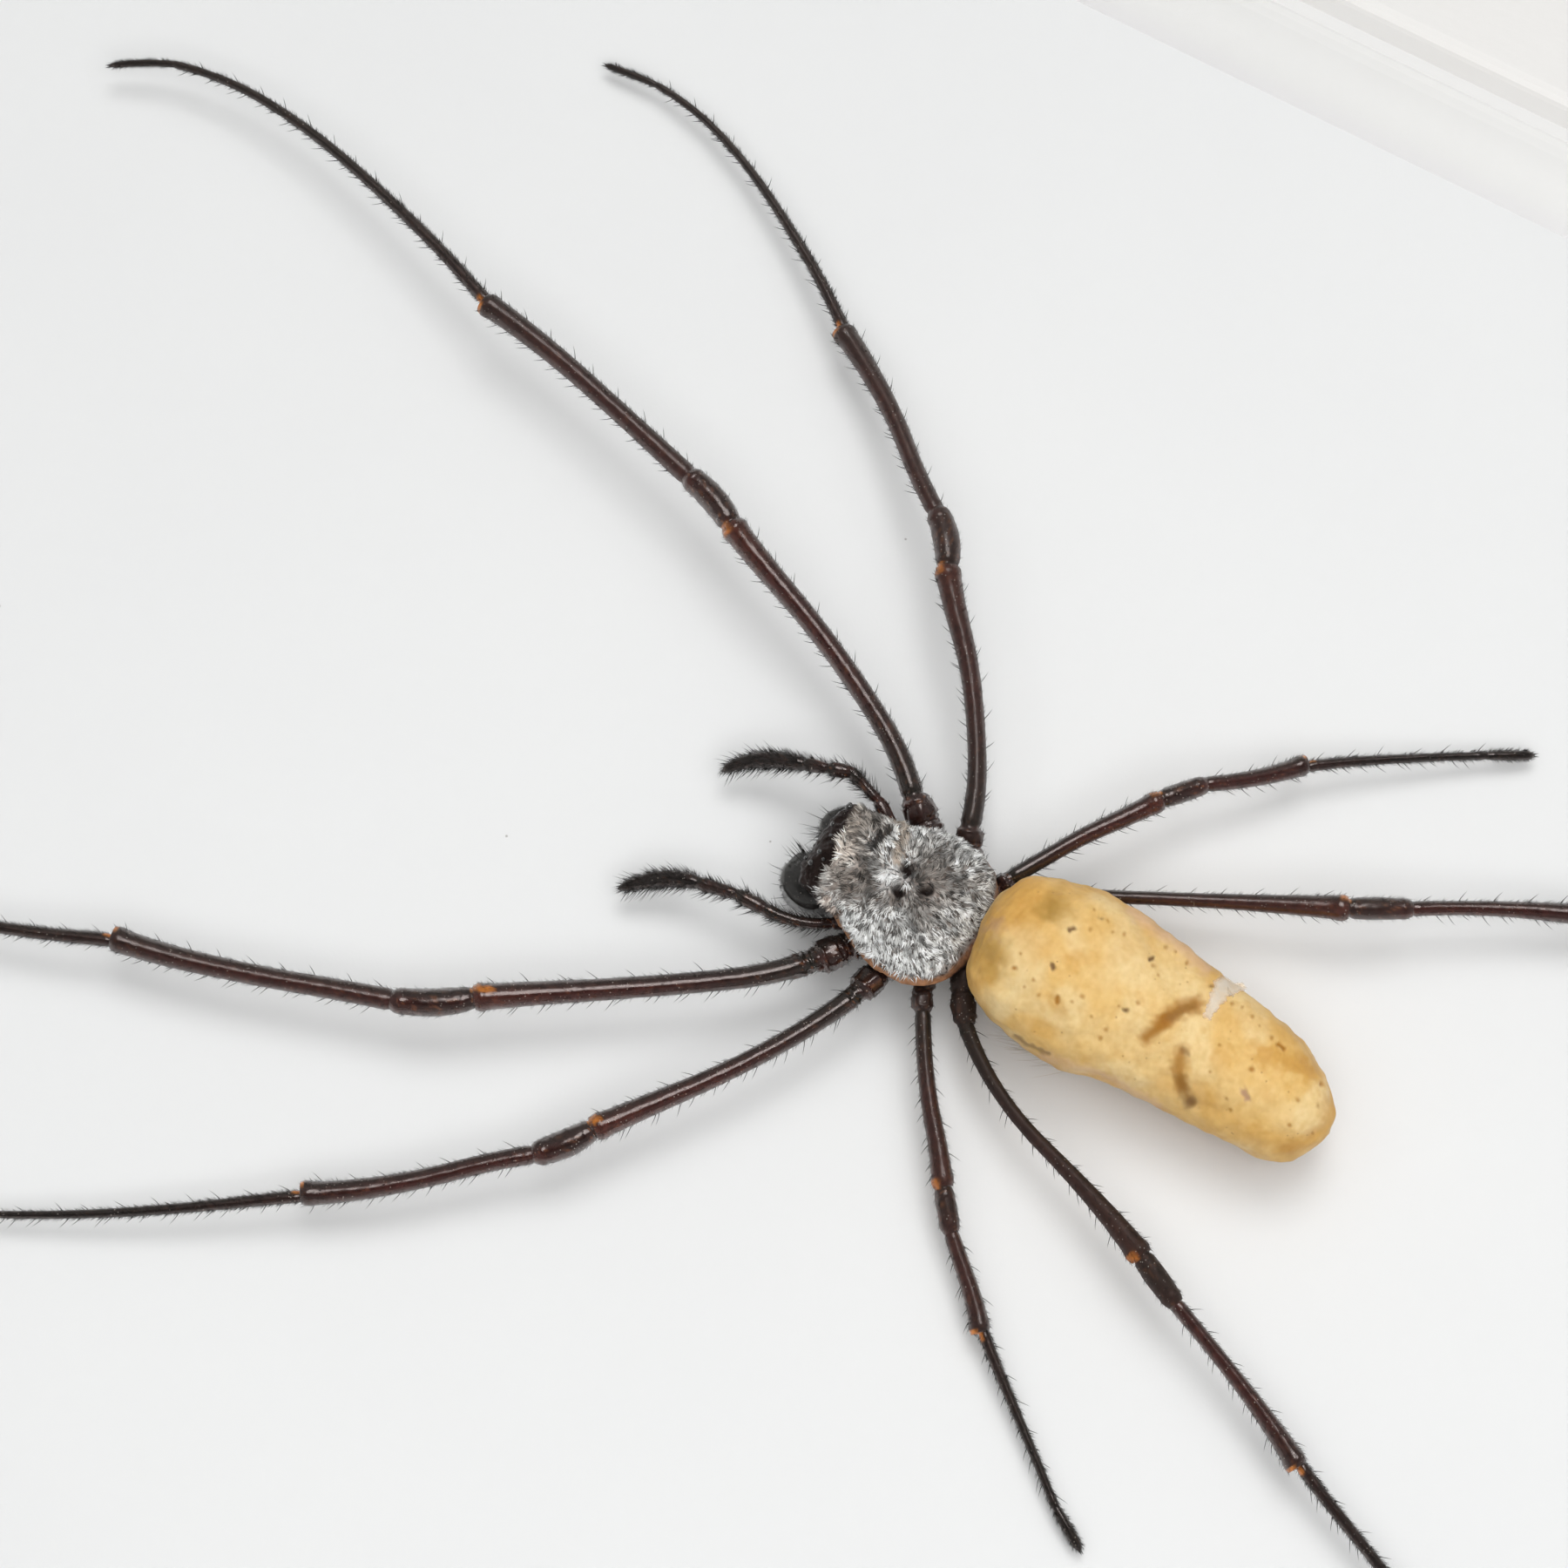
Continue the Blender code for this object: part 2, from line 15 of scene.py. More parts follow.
import bpy
import numpy as np
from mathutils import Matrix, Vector


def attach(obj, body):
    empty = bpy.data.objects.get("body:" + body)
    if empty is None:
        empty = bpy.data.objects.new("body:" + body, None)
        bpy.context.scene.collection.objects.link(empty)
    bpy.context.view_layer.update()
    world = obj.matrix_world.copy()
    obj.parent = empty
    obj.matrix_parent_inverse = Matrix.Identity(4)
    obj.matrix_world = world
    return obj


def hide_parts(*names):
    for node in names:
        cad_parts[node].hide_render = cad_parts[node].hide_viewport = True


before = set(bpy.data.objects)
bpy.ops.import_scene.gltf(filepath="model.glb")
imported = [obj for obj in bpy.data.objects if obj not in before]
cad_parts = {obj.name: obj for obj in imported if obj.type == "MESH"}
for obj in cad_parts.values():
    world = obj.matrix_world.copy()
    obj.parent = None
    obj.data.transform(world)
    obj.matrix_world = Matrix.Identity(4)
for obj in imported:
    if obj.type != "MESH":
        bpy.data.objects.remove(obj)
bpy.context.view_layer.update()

log = logging.getLogger("spider")

MM = 0.001
SPIDER_PLACE = (7.0, 0.0, 8.3)

Array = np.ndarray
Colour = tuple[float, float, float]
Pixel = tuple[float, float]
Point = tuple[float, float, float]
Table = tuple[tuple[float, ...], ...]
Constants = dict[str, float | Colour]
Random = np.random.Generator


class PieceSlot(Enum):
    """The material slots of the part, one named by each piece."""

    DOWN = "silver_down"
    SKIN = "waxy_yellow"
    BLACK = "black_cuticle"
    BROWN = "brown_cuticle"
    GLUE = "clear_glue"


class Blend(Enum):
    """Ways of mixing two colours."""

    PLAIN = "MIX"
    MULTIPLY = "MULTIPLY"


def unit(vectors: Array) -> Array:
    """Vectors of length one in the same directions."""
    return vectors / np.maximum(np.linalg.norm(vectors, axis=-1, keepdims=True), 1e-9)


def eased(values: Array | float, low: float, high: float) -> Array:
    """A smooth step from 0 at `low` to 1 at `high`, which may be the smaller one."""
    share = np.clip((np.asarray(values, float) - low) / (high - low), 0, 1)
    return share * share * (3 - 2 * share)


def full_turn(count: int) -> Array:
    """Even angles all the way round."""
    return 2 * math.pi * np.arange(count) / count


def spokes(angles: Array, sides: Array, uppers: Array) -> Array:
    """The directions at some angles round a middle line, a row of them for each of its stations."""
    return np.cos(angles)[:, None] * sides[..., None, :] + np.sin(angles)[:, None] * uppers[..., None, :]


WAVES = 14


def ripples(places: Array, size: float, seed: int) -> Array:
    """Smooth random waves over places.

    Args:
        places: Places in two or three dimensions.
        size: The usual distance from crest to crest.
        seed: Picks the pattern.

    Returns:
        One value for each place, mostly from -1 to 1.
    """
    rng = np.random.default_rng(seed)
    waves = unit(rng.normal(size=(WAVES, places.shape[-1])))
    waves = waves * (2 * math.pi / size) * rng.uniform(0.6, 1.5, (WAVES, 1))
    phases = rng.uniform(0, 2 * math.pi, WAVES)
    return np.sin(places @ waves.T + phases).sum(-1) * math.sqrt(1.6 / WAVES)


def curve(marks: Array, values: Array, places: Array) -> Array:
    """A smooth curve through values that doesn't overshoot them.

    Args:
        marks: Rising distances at which the values hold.
        values: One row of values for each mark.
        places: Distances to read the curve at.

    Returns:
        One row for each place.
    """
    steps = np.diff(marks)
    slopes = np.diff(values, axis=0) / steps[:, None]
    before, after = slopes[:-1], slopes[1:]
    tangents = np.zeros_like(values)
    tangents[0], tangents[-1] = slopes[0], slopes[-1]
    same_way = before * after > 0
    tangents[1:-1] = np.where(same_way, 2 * before * after / np.where(same_way, before + after, 1), 0)
    index = np.clip(np.searchsorted(marks, places) - 1, 0, len(steps) - 1)
    share = ((places - marks[index]) / steps[index])[:, None]
    run = steps[index][:, None]
    near, far = values[index], values[index + 1]
    return (
        near * (1 + 2 * share) * (1 - share) ** 2
        + far * (3 - 2 * share) * share**2
        + tangents[index] * run * share * (1 - share) ** 2
        - tangents[index + 1] * run * (1 - share) * share**2
    )


def along_rows(rows: Array, shape: Array, count: int) -> Array:
    """Rows read at even steps of the outline that two of their columns draw.

    Args:
        rows: The table's rows, in order.
        shape: The columns whose outline sets the steps, one row for each row of the table.
        count: How many rows to make.

    Returns:
        The new rows, from the first one to the last one.
    """
    marks = np.concatenate([[0], np.cumsum(np.linalg.norm(np.diff(shape, axis=0), axis=1))])
    return curve(marks, rows, np.linspace(0, marks[-1], count))


@dataclass(frozen=True)
class PhotoView:
    """Where the photograph was taken from, in the spider's own places.

    `field` is the width seen at the target, and `picture` the photograph's width in pixels. `glass_shift` is
    how far the pane seems to move what is under it.
    """

    azimuth: float = -61.5
    elevation: float = 72.0
    distance: float = 350.0
    target: Point = (1.9, 3.7, 0.0)
    glass_shift: Point = (0.23, 0.06, 0.0)
    field: float = 112.5
    picture: int = 1800
    sensor: float = 36.0

    @property
    def back(self) -> Array:
        """The direction from the target to the camera."""
        turn, rise = math.radians(self.azimuth), math.radians(self.elevation)
        return np.array([math.sin(turn) * math.cos(rise), -math.cos(turn) * math.cos(rise), math.sin(rise)])

    @property
    def right(self) -> Array:
        """The direction that runs to the picture's right."""
        turn = math.radians(self.azimuth)
        return np.array([math.cos(turn), math.sin(turn), 0.0])

    @property
    def up(self) -> Array:
        """The direction that runs up the picture."""
        return np.cross(self.back, self.right)

    def pixels(self, points: Array) -> Array:
        """Finds points of the spider in the photograph.

        Args:
            points: Places in millimetres.

        Returns:
            Their pixels, counted from the photograph's upper left corner.
        """
        rays = points - (np.array(self.target) + self.back * self.distance)
        scale = self.picture * self.distance / self.field / -(rays @ self.back)
        middle = self.picture / 2
        return np.stack([middle + scale * (rays @ self.right), middle - scale * (rays @ self.up)], axis=-1)

    def facing(self, normals: Array) -> Array:
        """How squarely surfaces face the camera, from 0 to 1."""
        return eased(normals @ self.back, -0.05, 0.15)

    def camera(self) -> None:
        """Adds the scene's camera."""
        data = bpy.data.cameras.new("photo_camera")
        data.sensor_width = self.sensor
        data.lens = self.sensor * self.distance / self.field
        data.clip_start = 0.01
        camera = bpy.data.objects.new("photo_camera", data)
        target = Vector(self.target) + Vector(self.glass_shift) + Vector(SPIDER_PLACE)
        camera.location = (target + Vector(self.back) * self.distance) * MM
        camera.rotation_euler = Vector(self.back).to_track_quat("Z", "Y").to_euler()
        bpy.context.scene.collection.objects.link(camera)
        bpy.context.scene.camera = camera


VIEW = PhotoView()


class Value:
    """A node's output that can stand in a sum. Each operator adds the Math node for it."""

    def __init__(self, nodes: Nodes, socket: bpy.types.NodeSocket) -> None:
        """Keeps the output and the nodes that it belongs to."""
        self.nodes = nodes
        self.socket = socket

    def _maths(self, operation: str, first: Value | float, second: Value | float) -> Value:
        """Adds one Math node."""
        return self.nodes.add("Math", {"operation": operation}, {0: first, 1: second})

    def __add__(self, other: Value | float) -> Value:
        """The sum."""
        return self._maths("ADD", self, other)

    __radd__ = __add__

    def __sub__(self, other: Value | float) -> Value:
        """The difference."""
        return self._maths("SUBTRACT", self, other)

    def __rsub__(self, other: Value | float) -> Value:
        """The difference, with this value taken away."""
        return self._maths("SUBTRACT", other, self)

    def __mul__(self, other: Value | float) -> Value:
        """The product."""
        return self._maths("MULTIPLY", self, other)

    __rmul__ = __mul__

    def eased(self, low: float, high: float) -> Value:
        """A smooth step from 0 at `low` to 1 at `high`."""
        sockets = {"Value": self, "From Min": low, "From Max": high}
        return self.nodes.add("MapRange", {"interpolation_type": "SMOOTHSTEP"}, sockets)


Term = Value | float | Colour


class Nodes:
    """A node tree that nodes are added to."""

    def __init__(self, tree: bpy.types.NodeTree) -> None:
        """Keeps the tree."""
        self.tree = tree

    def add(
        self,
        kind: str,
        settings: dict[str, object] | None = None,
        sockets: dict[str | int, Term] | None = None,
        output: str | int = 0,
    ) -> Value:
        """Adds a node.

        Args:
            kind: The node's type, without its ShaderNode prefix.
            settings: Settings of the node, which are set first. `stops` holds a ramp's places and values.
            sockets: A constant or a link for each of its inputs.
            output: The output that is wanted.

        Returns:
            That output.
        """
        node = self.tree.nodes.new("ShaderNode" + kind)
        for name, setting in (settings or {}).items():
            if name == "stops":
                self._set_stops(node.color_ramp, setting)
            else:
                setattr(node, name, setting)
        for name, term in (sockets or {}).items():
            self.feed(node.inputs[name], term)
        return Value(self, node.outputs[output])

    def _set_stops(self, ramp: bpy.types.ColorRamp, stops: Sequence[tuple[float, float]]) -> None:
        """Gives a ramp its stops.

        Args:
            ramp: The node's ramp.
            stops: A place and a grey value for each stop.
        """
        while len(ramp.elements) < len(stops):
            ramp.elements.new(1.0)
        for element, (place, grey) in zip(ramp.elements, stops):
            element.position = place
            element.color = (grey, grey, grey, 1)

    def feed(self, socket: bpy.types.NodeSocket, term: Term) -> None:
        """Links a value to a socket, or sets the constant on it.

        Args:
            socket: The socket to feed.
            term: The value or the constant.
        """
        if isinstance(term, Value):
            self.tree.links.new(term.socket, socket)
        elif isinstance(term, tuple) and socket.type == "RGBA":
            socket.default_value = (*term, 1)
        else:
            socket.default_value = term

    def mix(self, share: Term, low: Term, high: Term, blend: Blend = Blend.PLAIN) -> Value:
        """Mixes two colours, or multiplies the first by the second.

        Args:
            share: How much of `high` there is.
            low: The colour at a share of 0.
            high: The colour at a share of 1.
            blend: How they are mixed.

        Returns:
            The mixed colour.
        """
        settings = {"data_type": "RGBA", "blend_type": blend.value}
        return self.add("Mix", settings, {0: share, 6: low, 7: high}, 2)


class Shader(Nodes):
    """One material with a Principled surface."""

    def __init__(self, name: str, constants: Constants) -> None:
        """Makes the material.

        Args:
            name: The material's name.
            constants: What is the same all over the surface, by socket.
        """
        self.material = bpy.data.materials.new(name)
        self.material.use_nodes = True
        super().__init__(self.material.node_tree)
        self.surface = self.tree.nodes["Principled BSDF"]
        for socket, constant in constants.items():
            self.feed(self.surface.inputs[socket], constant)

    def place(self, stretch: Point = (1.0, 1.0, 1.0)) -> Value:
        """Places on the object.

        Args:
            stretch: What each axis is multiplied by.

        Returns:
            The places in millimetres.
        """
        scale = tuple(factor / MM for factor in stretch)
        coordinates = self.add("TexCoord", output="Object")
        return self.add("VectorMath", {"operation": "MULTIPLY"}, {0: coordinates, 1: scale})

    def noise(self, size: float, detail: float = 2.0, stretch: Point = (1.0, 1.0, 1.0)) -> Value:
        """Noise from 0 to 1 whose patches are about `size` millimetres across."""
        sockets = {"Vector": self.place(stretch), "Scale": 1 / size, "Detail": detail}
        return self.add("TexNoise", {}, sockets)

    def specks(self, spacing: float, reach: float) -> Value:
        """Scattered dots.

        Args:
            spacing: The usual distance between them, in millimetres.
            reach: Their radius as a share of the spacing.

        Returns:
            1 on the dots and 0 elsewhere.
        """
        sockets = {"Vector": self.place(), "Scale": 1 / spacing, "Randomness": 1.0}
        cells = self.add("TexVoronoi", {"feature": "F1"}, sockets, "Distance")
        return cells.eased(reach, reach * 0.6)

    def tint(self) -> Value:
        """The colour that the mesh's points carry."""
        return self.add("Attribute", {"attribute_name": "tint"}, output="Color")

    def tint_mask(self) -> Value:
        """The share from 0 to 1 that the mesh's points carry beside their colour."""
        return self.add("Attribute", {"attribute_name": "tint"}, output="Alpha")

    def gets(self, sockets: dict[str, Term]) -> None:
        """Feeds the surface's sockets."""
        for name, term in sockets.items():
            self.feed(self.surface.inputs[name], term)

    def bumps(self, height: Value, depth: float, strength: float = 1.0) -> None:
        """Raises the surface by a height from 0 to 1 that stands for `depth` millimetres."""
        sockets = {"Height": height, "Distance": depth * MM, "Strength": strength}
        self.gets({"Normal": self.add("Bump", {}, sockets)})


@dataclass(frozen=True)
class Finish:
    """A named finish. Each kind says how its material is dressed."""

    name: str
    shine: float = 0.5

    def constants(self) -> Constants:
        """What is the same all over the surface."""
        return {"Specular IOR Level": self.shine}

    def dress(self, shader: Shader) -> None:
        """Adds what varies over the surface."""

    def material(self) -> bpy.types.Material:
        """Makes the finish's material the first time that it is asked for.

        Returns:
            The material.
        """
        known = bpy.data.materials.get(self.name)
        if known:
            return known
        shader = Shader(self.name, self.constants())
        self.dress(shader)
        return shader.material


@dataclass(frozen=True)
class Cuticle(Finish):
    """Dried, glossy cuticle with faint streaks and a little dust, in the colour of the mesh's tint.

    Where the mesh's mask is 1 its roughness is lower by `gloss`, and its coat by the share `worn`.
    """

    shine: float = 0.7
    roughness: float = 0.18
    coat: float = 0.8
    gloss: float = 0.0
    worn: float = 0.0
    index: float = 1.5
    shine_tint: Colour = (1.0, 0.75, 0.69)
    dust: Colour = (0.55, 0.50, 0.44)

    def constants(self) -> Constants:
        """A thin clear coat over cuticle that shines in its own colour."""
        coat = {"Coat Roughness": 0.17, "Coat IOR": 1.6}
        return super().constants() | coat | {"Specular Tint": self.shine_tint, "IOR": self.index}

    def dress(self, shader: Shader) -> None:
        """Streaks, pores and specks of dust.

        Args:
            shader: The surface to dress.
        """
        patches = shader.noise(0.5, 4)
        grain = shader.noise(0.09, 2)
        dust = shader.specks(0.28, 0.17) * shader.noise(1.6, 1).eased(0.38, 0.58)
        lit = shader.mix(patches.eased(0.3, 0.7), (0.72, 0.7, 0.7), (1.28, 1.24, 1.24))
        colour = shader.mix(1.0, shader.tint(), lit, Blend.MULTIPLY)
        colour = shader.mix(dust * 0.6, colour, self.dust)
        mask = shader.tint_mask()
        dull = self.roughness + patches * 0.14 + dust * 0.3 - mask * self.gloss
        coat = self.coat - mask * (self.coat * self.worn)
        shader.gets({"Base Color": colour, "Roughness": dull, "Coat Weight": coat})
        shader.bumps(grain * 0.4 + patches, 0.03, 0.38)


@dataclass(frozen=True)
class Hair(Finish):
    """Fine stiff hairs in the colour of the mesh's tint."""

    shine: float = 0.35
    roughness: float = 0.45

    def dress(self, shader: Shader) -> None:
        """Hairs vary a little in tone and shine.

        Args:
            shader: The surface to dress.
        """
        tone = shader.noise(0.3, 2)
        lit = shader.mix(tone, (0.78, 0.78, 0.78), (1.2, 1.2, 1.2))
        colour = shader.mix(1.0, shader.tint(), lit, Blend.MULTIPLY)
        shader.gets({"Base Color": colour, "Roughness": self.roughness + tone * 0.2})


@dataclass(frozen=True)
class WaxySkin(Finish):
    """The abdomen's dried, waxy, slightly see-through skin."""

    shine: float = 0.3

    def constants(self) -> Constants:
        """Light sinks a little way into the skin."""
        depth = {"Subsurface Radius": (1.0, 0.5, 0.2), "Subsurface Scale": 0.3 * MM}
        return super().constants() | {"Subsurface Weight": 0.1} | depth

    def dress(self, shader: Shader) -> None:
        """Mottling at three scales, fine pores and shallow wrinkles.

        Args:
            shader: The surface to dress.
        """
        broad = shader.noise(3.2, 3)
        fine = shader.noise(0.5, 5)
        pores = shader.specks(0.7, 0.13) * shader.noise(2.4, 1).eased(0.45, 0.6)
        warm = shader.mix(fine.eased(0.3, 0.7), (0.95, 0.92, 0.86), (1.03, 1.04, 1.06))
        colour = shader.mix(1.0, shader.tint(), warm, Blend.MULTIPLY)
        colour = shader.mix(broad.eased(0.5, 0.75) * 0.16, colour, (0.66, 0.38, 0.12))
        colour = shader.mix(pores * 0.5, colour, (0.36, 0.17, 0.05))
        shader.gets({"Base Color": colour, "Roughness": 0.4 + fine * 0.22})
        shader.bumps(fine * 0.6 + broad * 0.7 - pores * 0.5, 0.04, 0.5)


@dataclass(frozen=True)
class DriedFilm(Finish):
    """A flake of thin, whitish film."""

    shine: float = 0.4

    def dress(self, shader: Shader) -> None:
        """Cloudy patches and creases. The skin shows through by the mesh's mask, most at the edges.

        Args:
            shader: The surface to dress.
        """
        clouds = shader.noise(0.7, 4)
        colour = shader.mix(clouds.eased(0.35, 0.7), (0.94, 0.79, 0.60), (0.95, 0.86, 0.73))
        shader.gets({"Base Color": colour, "Roughness": 0.3 + clouds * 0.3, "Alpha": shader.tint_mask()})
        shader.bumps(clouds, 0.04)


@dataclass(frozen=True)
class WhiteBoard(Finish):
    """Matte white board with a fine paper grain and a few specks of dirt."""

    shine: float = 0.25
    colour: Colour = (0.862, 0.862, 0.862)

    def dress(self, shader: Shader) -> None:
        """Grain, faint clouds and sparse specks.

        Args:
            shader: The surface to dress.
        """
        grain = shader.noise(0.22, 3)
        clouds = shader.noise(26.0, 2)
        specks = shader.specks(7.5, 0.016) * shader.noise(9.0, 1).eased(0.5, 0.56)
        tone = shader.mix(clouds, (0.975, 0.975, 0.978), (1.012, 1.012, 1.01))
        colour = shader.mix(1.0, self.colour, tone, Blend.MULTIPLY)
        colour = shader.mix(grain * 0.05, colour, (0.7, 0.7, 0.7))
        colour = shader.mix(specks * 0.6, colour, (0.3, 0.28, 0.25))
        shader.gets({"Base Color": colour, "Roughness": 0.72 + grain * 0.16})
        shader.bumps(grain, 0.012, 0.5)


@dataclass(frozen=True)
class WallCard(Finish):
    """The card-faced strips between the board and the glass. Painted shade and bounced light make them
    faintly lilac near the board and darker on top.

    `top` is their upper edge's height above the board.
    """

    shine: float = 0.3
    top: float = 14.02

    def dress(self, shader: Shader) -> None:
        """Fibres, and painted shade and bounced light that change with height.

        Args:
            shader: The surface to dress.
        """
        height = shader.add("SeparateXYZ", {}, {0: shader.place()}, 2)
        fibres = shader.noise(0.3, 3, (1.0, 1.0, 3.0))
        low = SPIDER_PLACE[2]
        top = low + self.top
        # Painted light: lilac grey low on the wall for shade and light bounced from the board, lighter higher
        # up, darker towards the top, and painted dark lines at the joint and along the top edge
        colour = shader.mix(height.eased(low, low + 5.0), (0.855, 0.84, 0.845), (0.875, 0.868, 0.855))
        colour = shader.mix(height.eased(low + 6.0, top), colour, (0.80, 0.793, 0.78))
        colour = shader.mix(height.eased(low + 0.45, low), colour, (0.80, 0.79, 0.80))
        colour = shader.mix(height.eased(top - 0.03, top - 0.01), colour, (0.76, 0.75, 0.74))
        colour = shader.mix(fibres * 0.06, colour, (0.6, 0.59, 0.58))
        shader.gets({"Base Color": colour, "Roughness": 0.66 + fibres * 0.16})
        shader.bumps(fibres, 0.02, 0.5)


@dataclass(frozen=True)
class PaintedWood(Finish):
    """Warm white paint on a planed rail: the grain just shows along it, and the edges are a little worn."""

    stretch: Point = (1.0, 1.0, 1.0)
    colour: Colour = (0.70, 0.691, 0.677)

    def constants(self) -> Constants:
        """Satin paint."""
        return super().constants() | {"Coat Weight": 0.12, "Coat Roughness": 0.3}

    def dress(self, shader: Shader) -> None:
        """Brushed paint over faint grain.

        Args:
            shader: The surface to dress.
        """
        grain = shader.noise(1.1, 5, self.stretch)
        mist = shader.noise(0.35, 2)
        clouds = shader.noise(18.0, 2)
        tone = shader.mix(clouds, (0.97, 0.965, 0.955), (1.015, 1.015, 1.01))
        colour = shader.mix(1.0, self.colour, tone, Blend.MULTIPLY)
        colour = shader.mix(grain.eased(0.58, 0.8) * 0.16, colour, (0.66, 0.6, 0.52))
        shader.gets({"Base Color": colour, "Roughness": 0.36 + mist * 0.2})
        shader.bumps(grain * 0.7 + mist * 0.3, 0.06, 0.5)


@dataclass(frozen=True)
class Fibreboard(Finish):
    """Pressed brown board with dark and pale fibres."""

    shine: float = 0.25

    def dress(self, shader: Shader) -> None:
        """Short fibres over soft clouds.

        Args:
            shader: The surface to dress.
        """
        fibres = shader.noise(0.5, 5, (1.0, 2.4, 1.0))
        clouds = shader.noise(11.0, 2)
        colour = shader.mix(fibres.eased(0.3, 0.7), (0.13, 0.07, 0.035), (0.33, 0.2, 0.11))
        colour = shader.mix(clouds * 0.35, colour, (0.24, 0.135, 0.07))
        shader.gets({"Base Color": colour, "Roughness": 0.72 + fibres * 0.2})
        shader.bumps(fibres, 0.05)


@dataclass(frozen=True)
class Steel(Finish):
    """Bright stamped steel with fine scratches."""

    def constants(self) -> Constants:
        """Bare metal."""
        return super().constants() | {"Metallic": 1.0}

    def dress(self, shader: Shader) -> None:
        """Scratches and dull patches.

        Args:
            shader: The surface to dress.
        """
        scratches = shader.noise(0.5, 3, (1.0, 9.0, 1.0))
        dull = shader.noise(2.5, 2)
        colour = shader.mix(dull, (0.5, 0.49, 0.48), (0.68, 0.67, 0.66))
        shader.gets({"Base Color": colour, "Roughness": 0.24 + scratches * 0.22})
        shader.bumps(scratches, 0.01)


@dataclass(frozen=True)
class ClearGlue(Finish):
    """Whitish, half-clear glue."""

    def constants(self) -> Constants:
        """Light sinks into the glue."""
        return super().constants() | {"Subsurface Weight": 0.4, "Subsurface Scale": MM, "Coat Weight": 0.4}

    def dress(self, shader: Shader) -> None:
        """Cloudy patches.

        Args:
            shader: The surface to dress.
        """
        clouds = shader.noise(1.2, 3)
        colour = shader.mix(clouds, (0.62, 0.6, 0.54), (0.8, 0.79, 0.76))
        shader.gets({"Base Color": colour, "Roughness": 0.2 + clouds * 0.2})
        shader.bumps(clouds, 0.08)


@dataclass(frozen=True)
class ClearGlass(Finish):
    """Clean window glass."""

    def constants(self) -> Constants:
        """Plain transmission."""
        glass = {"Transmission Weight": 1.0, "Roughness": 0.0, "IOR": 1.45}
        return super().constants() | {"Base Color": (0.985, 0.992, 0.988)} | glass


@dataclass(frozen=True)
class StudioPaper(Finish):
    """The pale floor of the studio."""

    def dress(self, shader: Shader) -> None:
        """A smooth sheet with hardly any grain.

        Args:
            shader: The surface to dress.
        """
        clouds = shader.noise(60.0, 2)
        colour = shader.mix(clouds, (0.72, 0.72, 0.715), (0.76, 0.76, 0.755))
        shader.gets({"Base Color": colour, "Roughness": 0.8 + clouds * 0.1})


LEG_CUTICLE = Cuticle("leg_cuticle", gloss=-0.35, worn=0.95)
JAW_CUTICLE = Cuticle("jaw_cuticle", roughness=0.3, coat=0.95, shine=0.8, shine_tint=(1.0, 0.98, 0.94))
SHIELD_CUTICLE = Cuticle("shield_cuticle", roughness=0.55, coat=0.0, gloss=0.34, shine=0.22)
EYE_LENS = Cuticle("eye_lens", roughness=0.03, coat=1.0, index=1.8, shine_tint=(1.0, 1.0, 1.0))
DARK_HAIR = Hair("dark_hair")
SILVER_HAIR = Hair("silver_hair", roughness=0.5, shine=0.5)
SKIN = WaxySkin("abdomen_skin")
FILM = DriedFilm("dried_film")
GLUE = ClearGlue("cloudy_glue")


@dataclass(frozen=True)
class Mark:
    """A soft-edged stain, pit or streak, placed and sized in pixels of the photograph.

    `path` has one pixel for a round mark, or several for a streak. `width` is its half width.
    """

    path: tuple[Pixel, ...]
    width: float
    colour: Colour
    strength: float = 1.0
    softness: float = 0.45
    ragged: float = 0.2

    def cover(self, pixels: Array) -> Array:
        """Works out how much of the mark lies on each pixel.

        Args:
            pixels: Pixels of the photograph.

        Returns:
            Shares from 0 to the mark's strength.
        """
        nearest = np.full(len(pixels), np.inf)
        ends = self.path if len(self.path) > 1 else self.path * 2
        for start, end in zip(ends, ends[1:]):
            run = np.subtract(end, start)
            length = max(float(run @ run), 1e-9)
            share = np.clip((pixels - start) @ run / length, 0, 1)[:, None]
            nearest = np.minimum(nearest, np.linalg.norm(pixels - (start + share * run), axis=1))
        seed = int(self.path[0][0] * 7 + self.path[0][1])
        reach = self.width * (1 + self.ragged * ripples(pixels, max(self.width * 1.6, 9.0), seed))
        return self.strength * eased(nearest / np.maximum(reach, 0.1), 1 + self.softness, 1 - self.softness)


Marks = tuple[Mark, ...]


def strokes(*rows: tuple[Colour | float | Pixel, ...]) -> Marks:
    """Makes marks.

    Args:
        rows: For each its colour, half width, strength, softness and, if it isn't the usual, raggedness, then
            its pixels.

    Returns:
        The marks, in the same order.
    """
    marks = []
    for colour, width, *rest in rows:
        path = tuple(part for part in rest if isinstance(part, tuple))
        marks.append(Mark(path, width, colour, *rest[:-len(path)]))
    return tuple(marks)


@dataclass
class Bed:
    """Places on a surface that hairs grow from: roots, normals, directions along the surface, and tints."""

    roots: Array
    normals: Array
    along: Array
    tints: Array


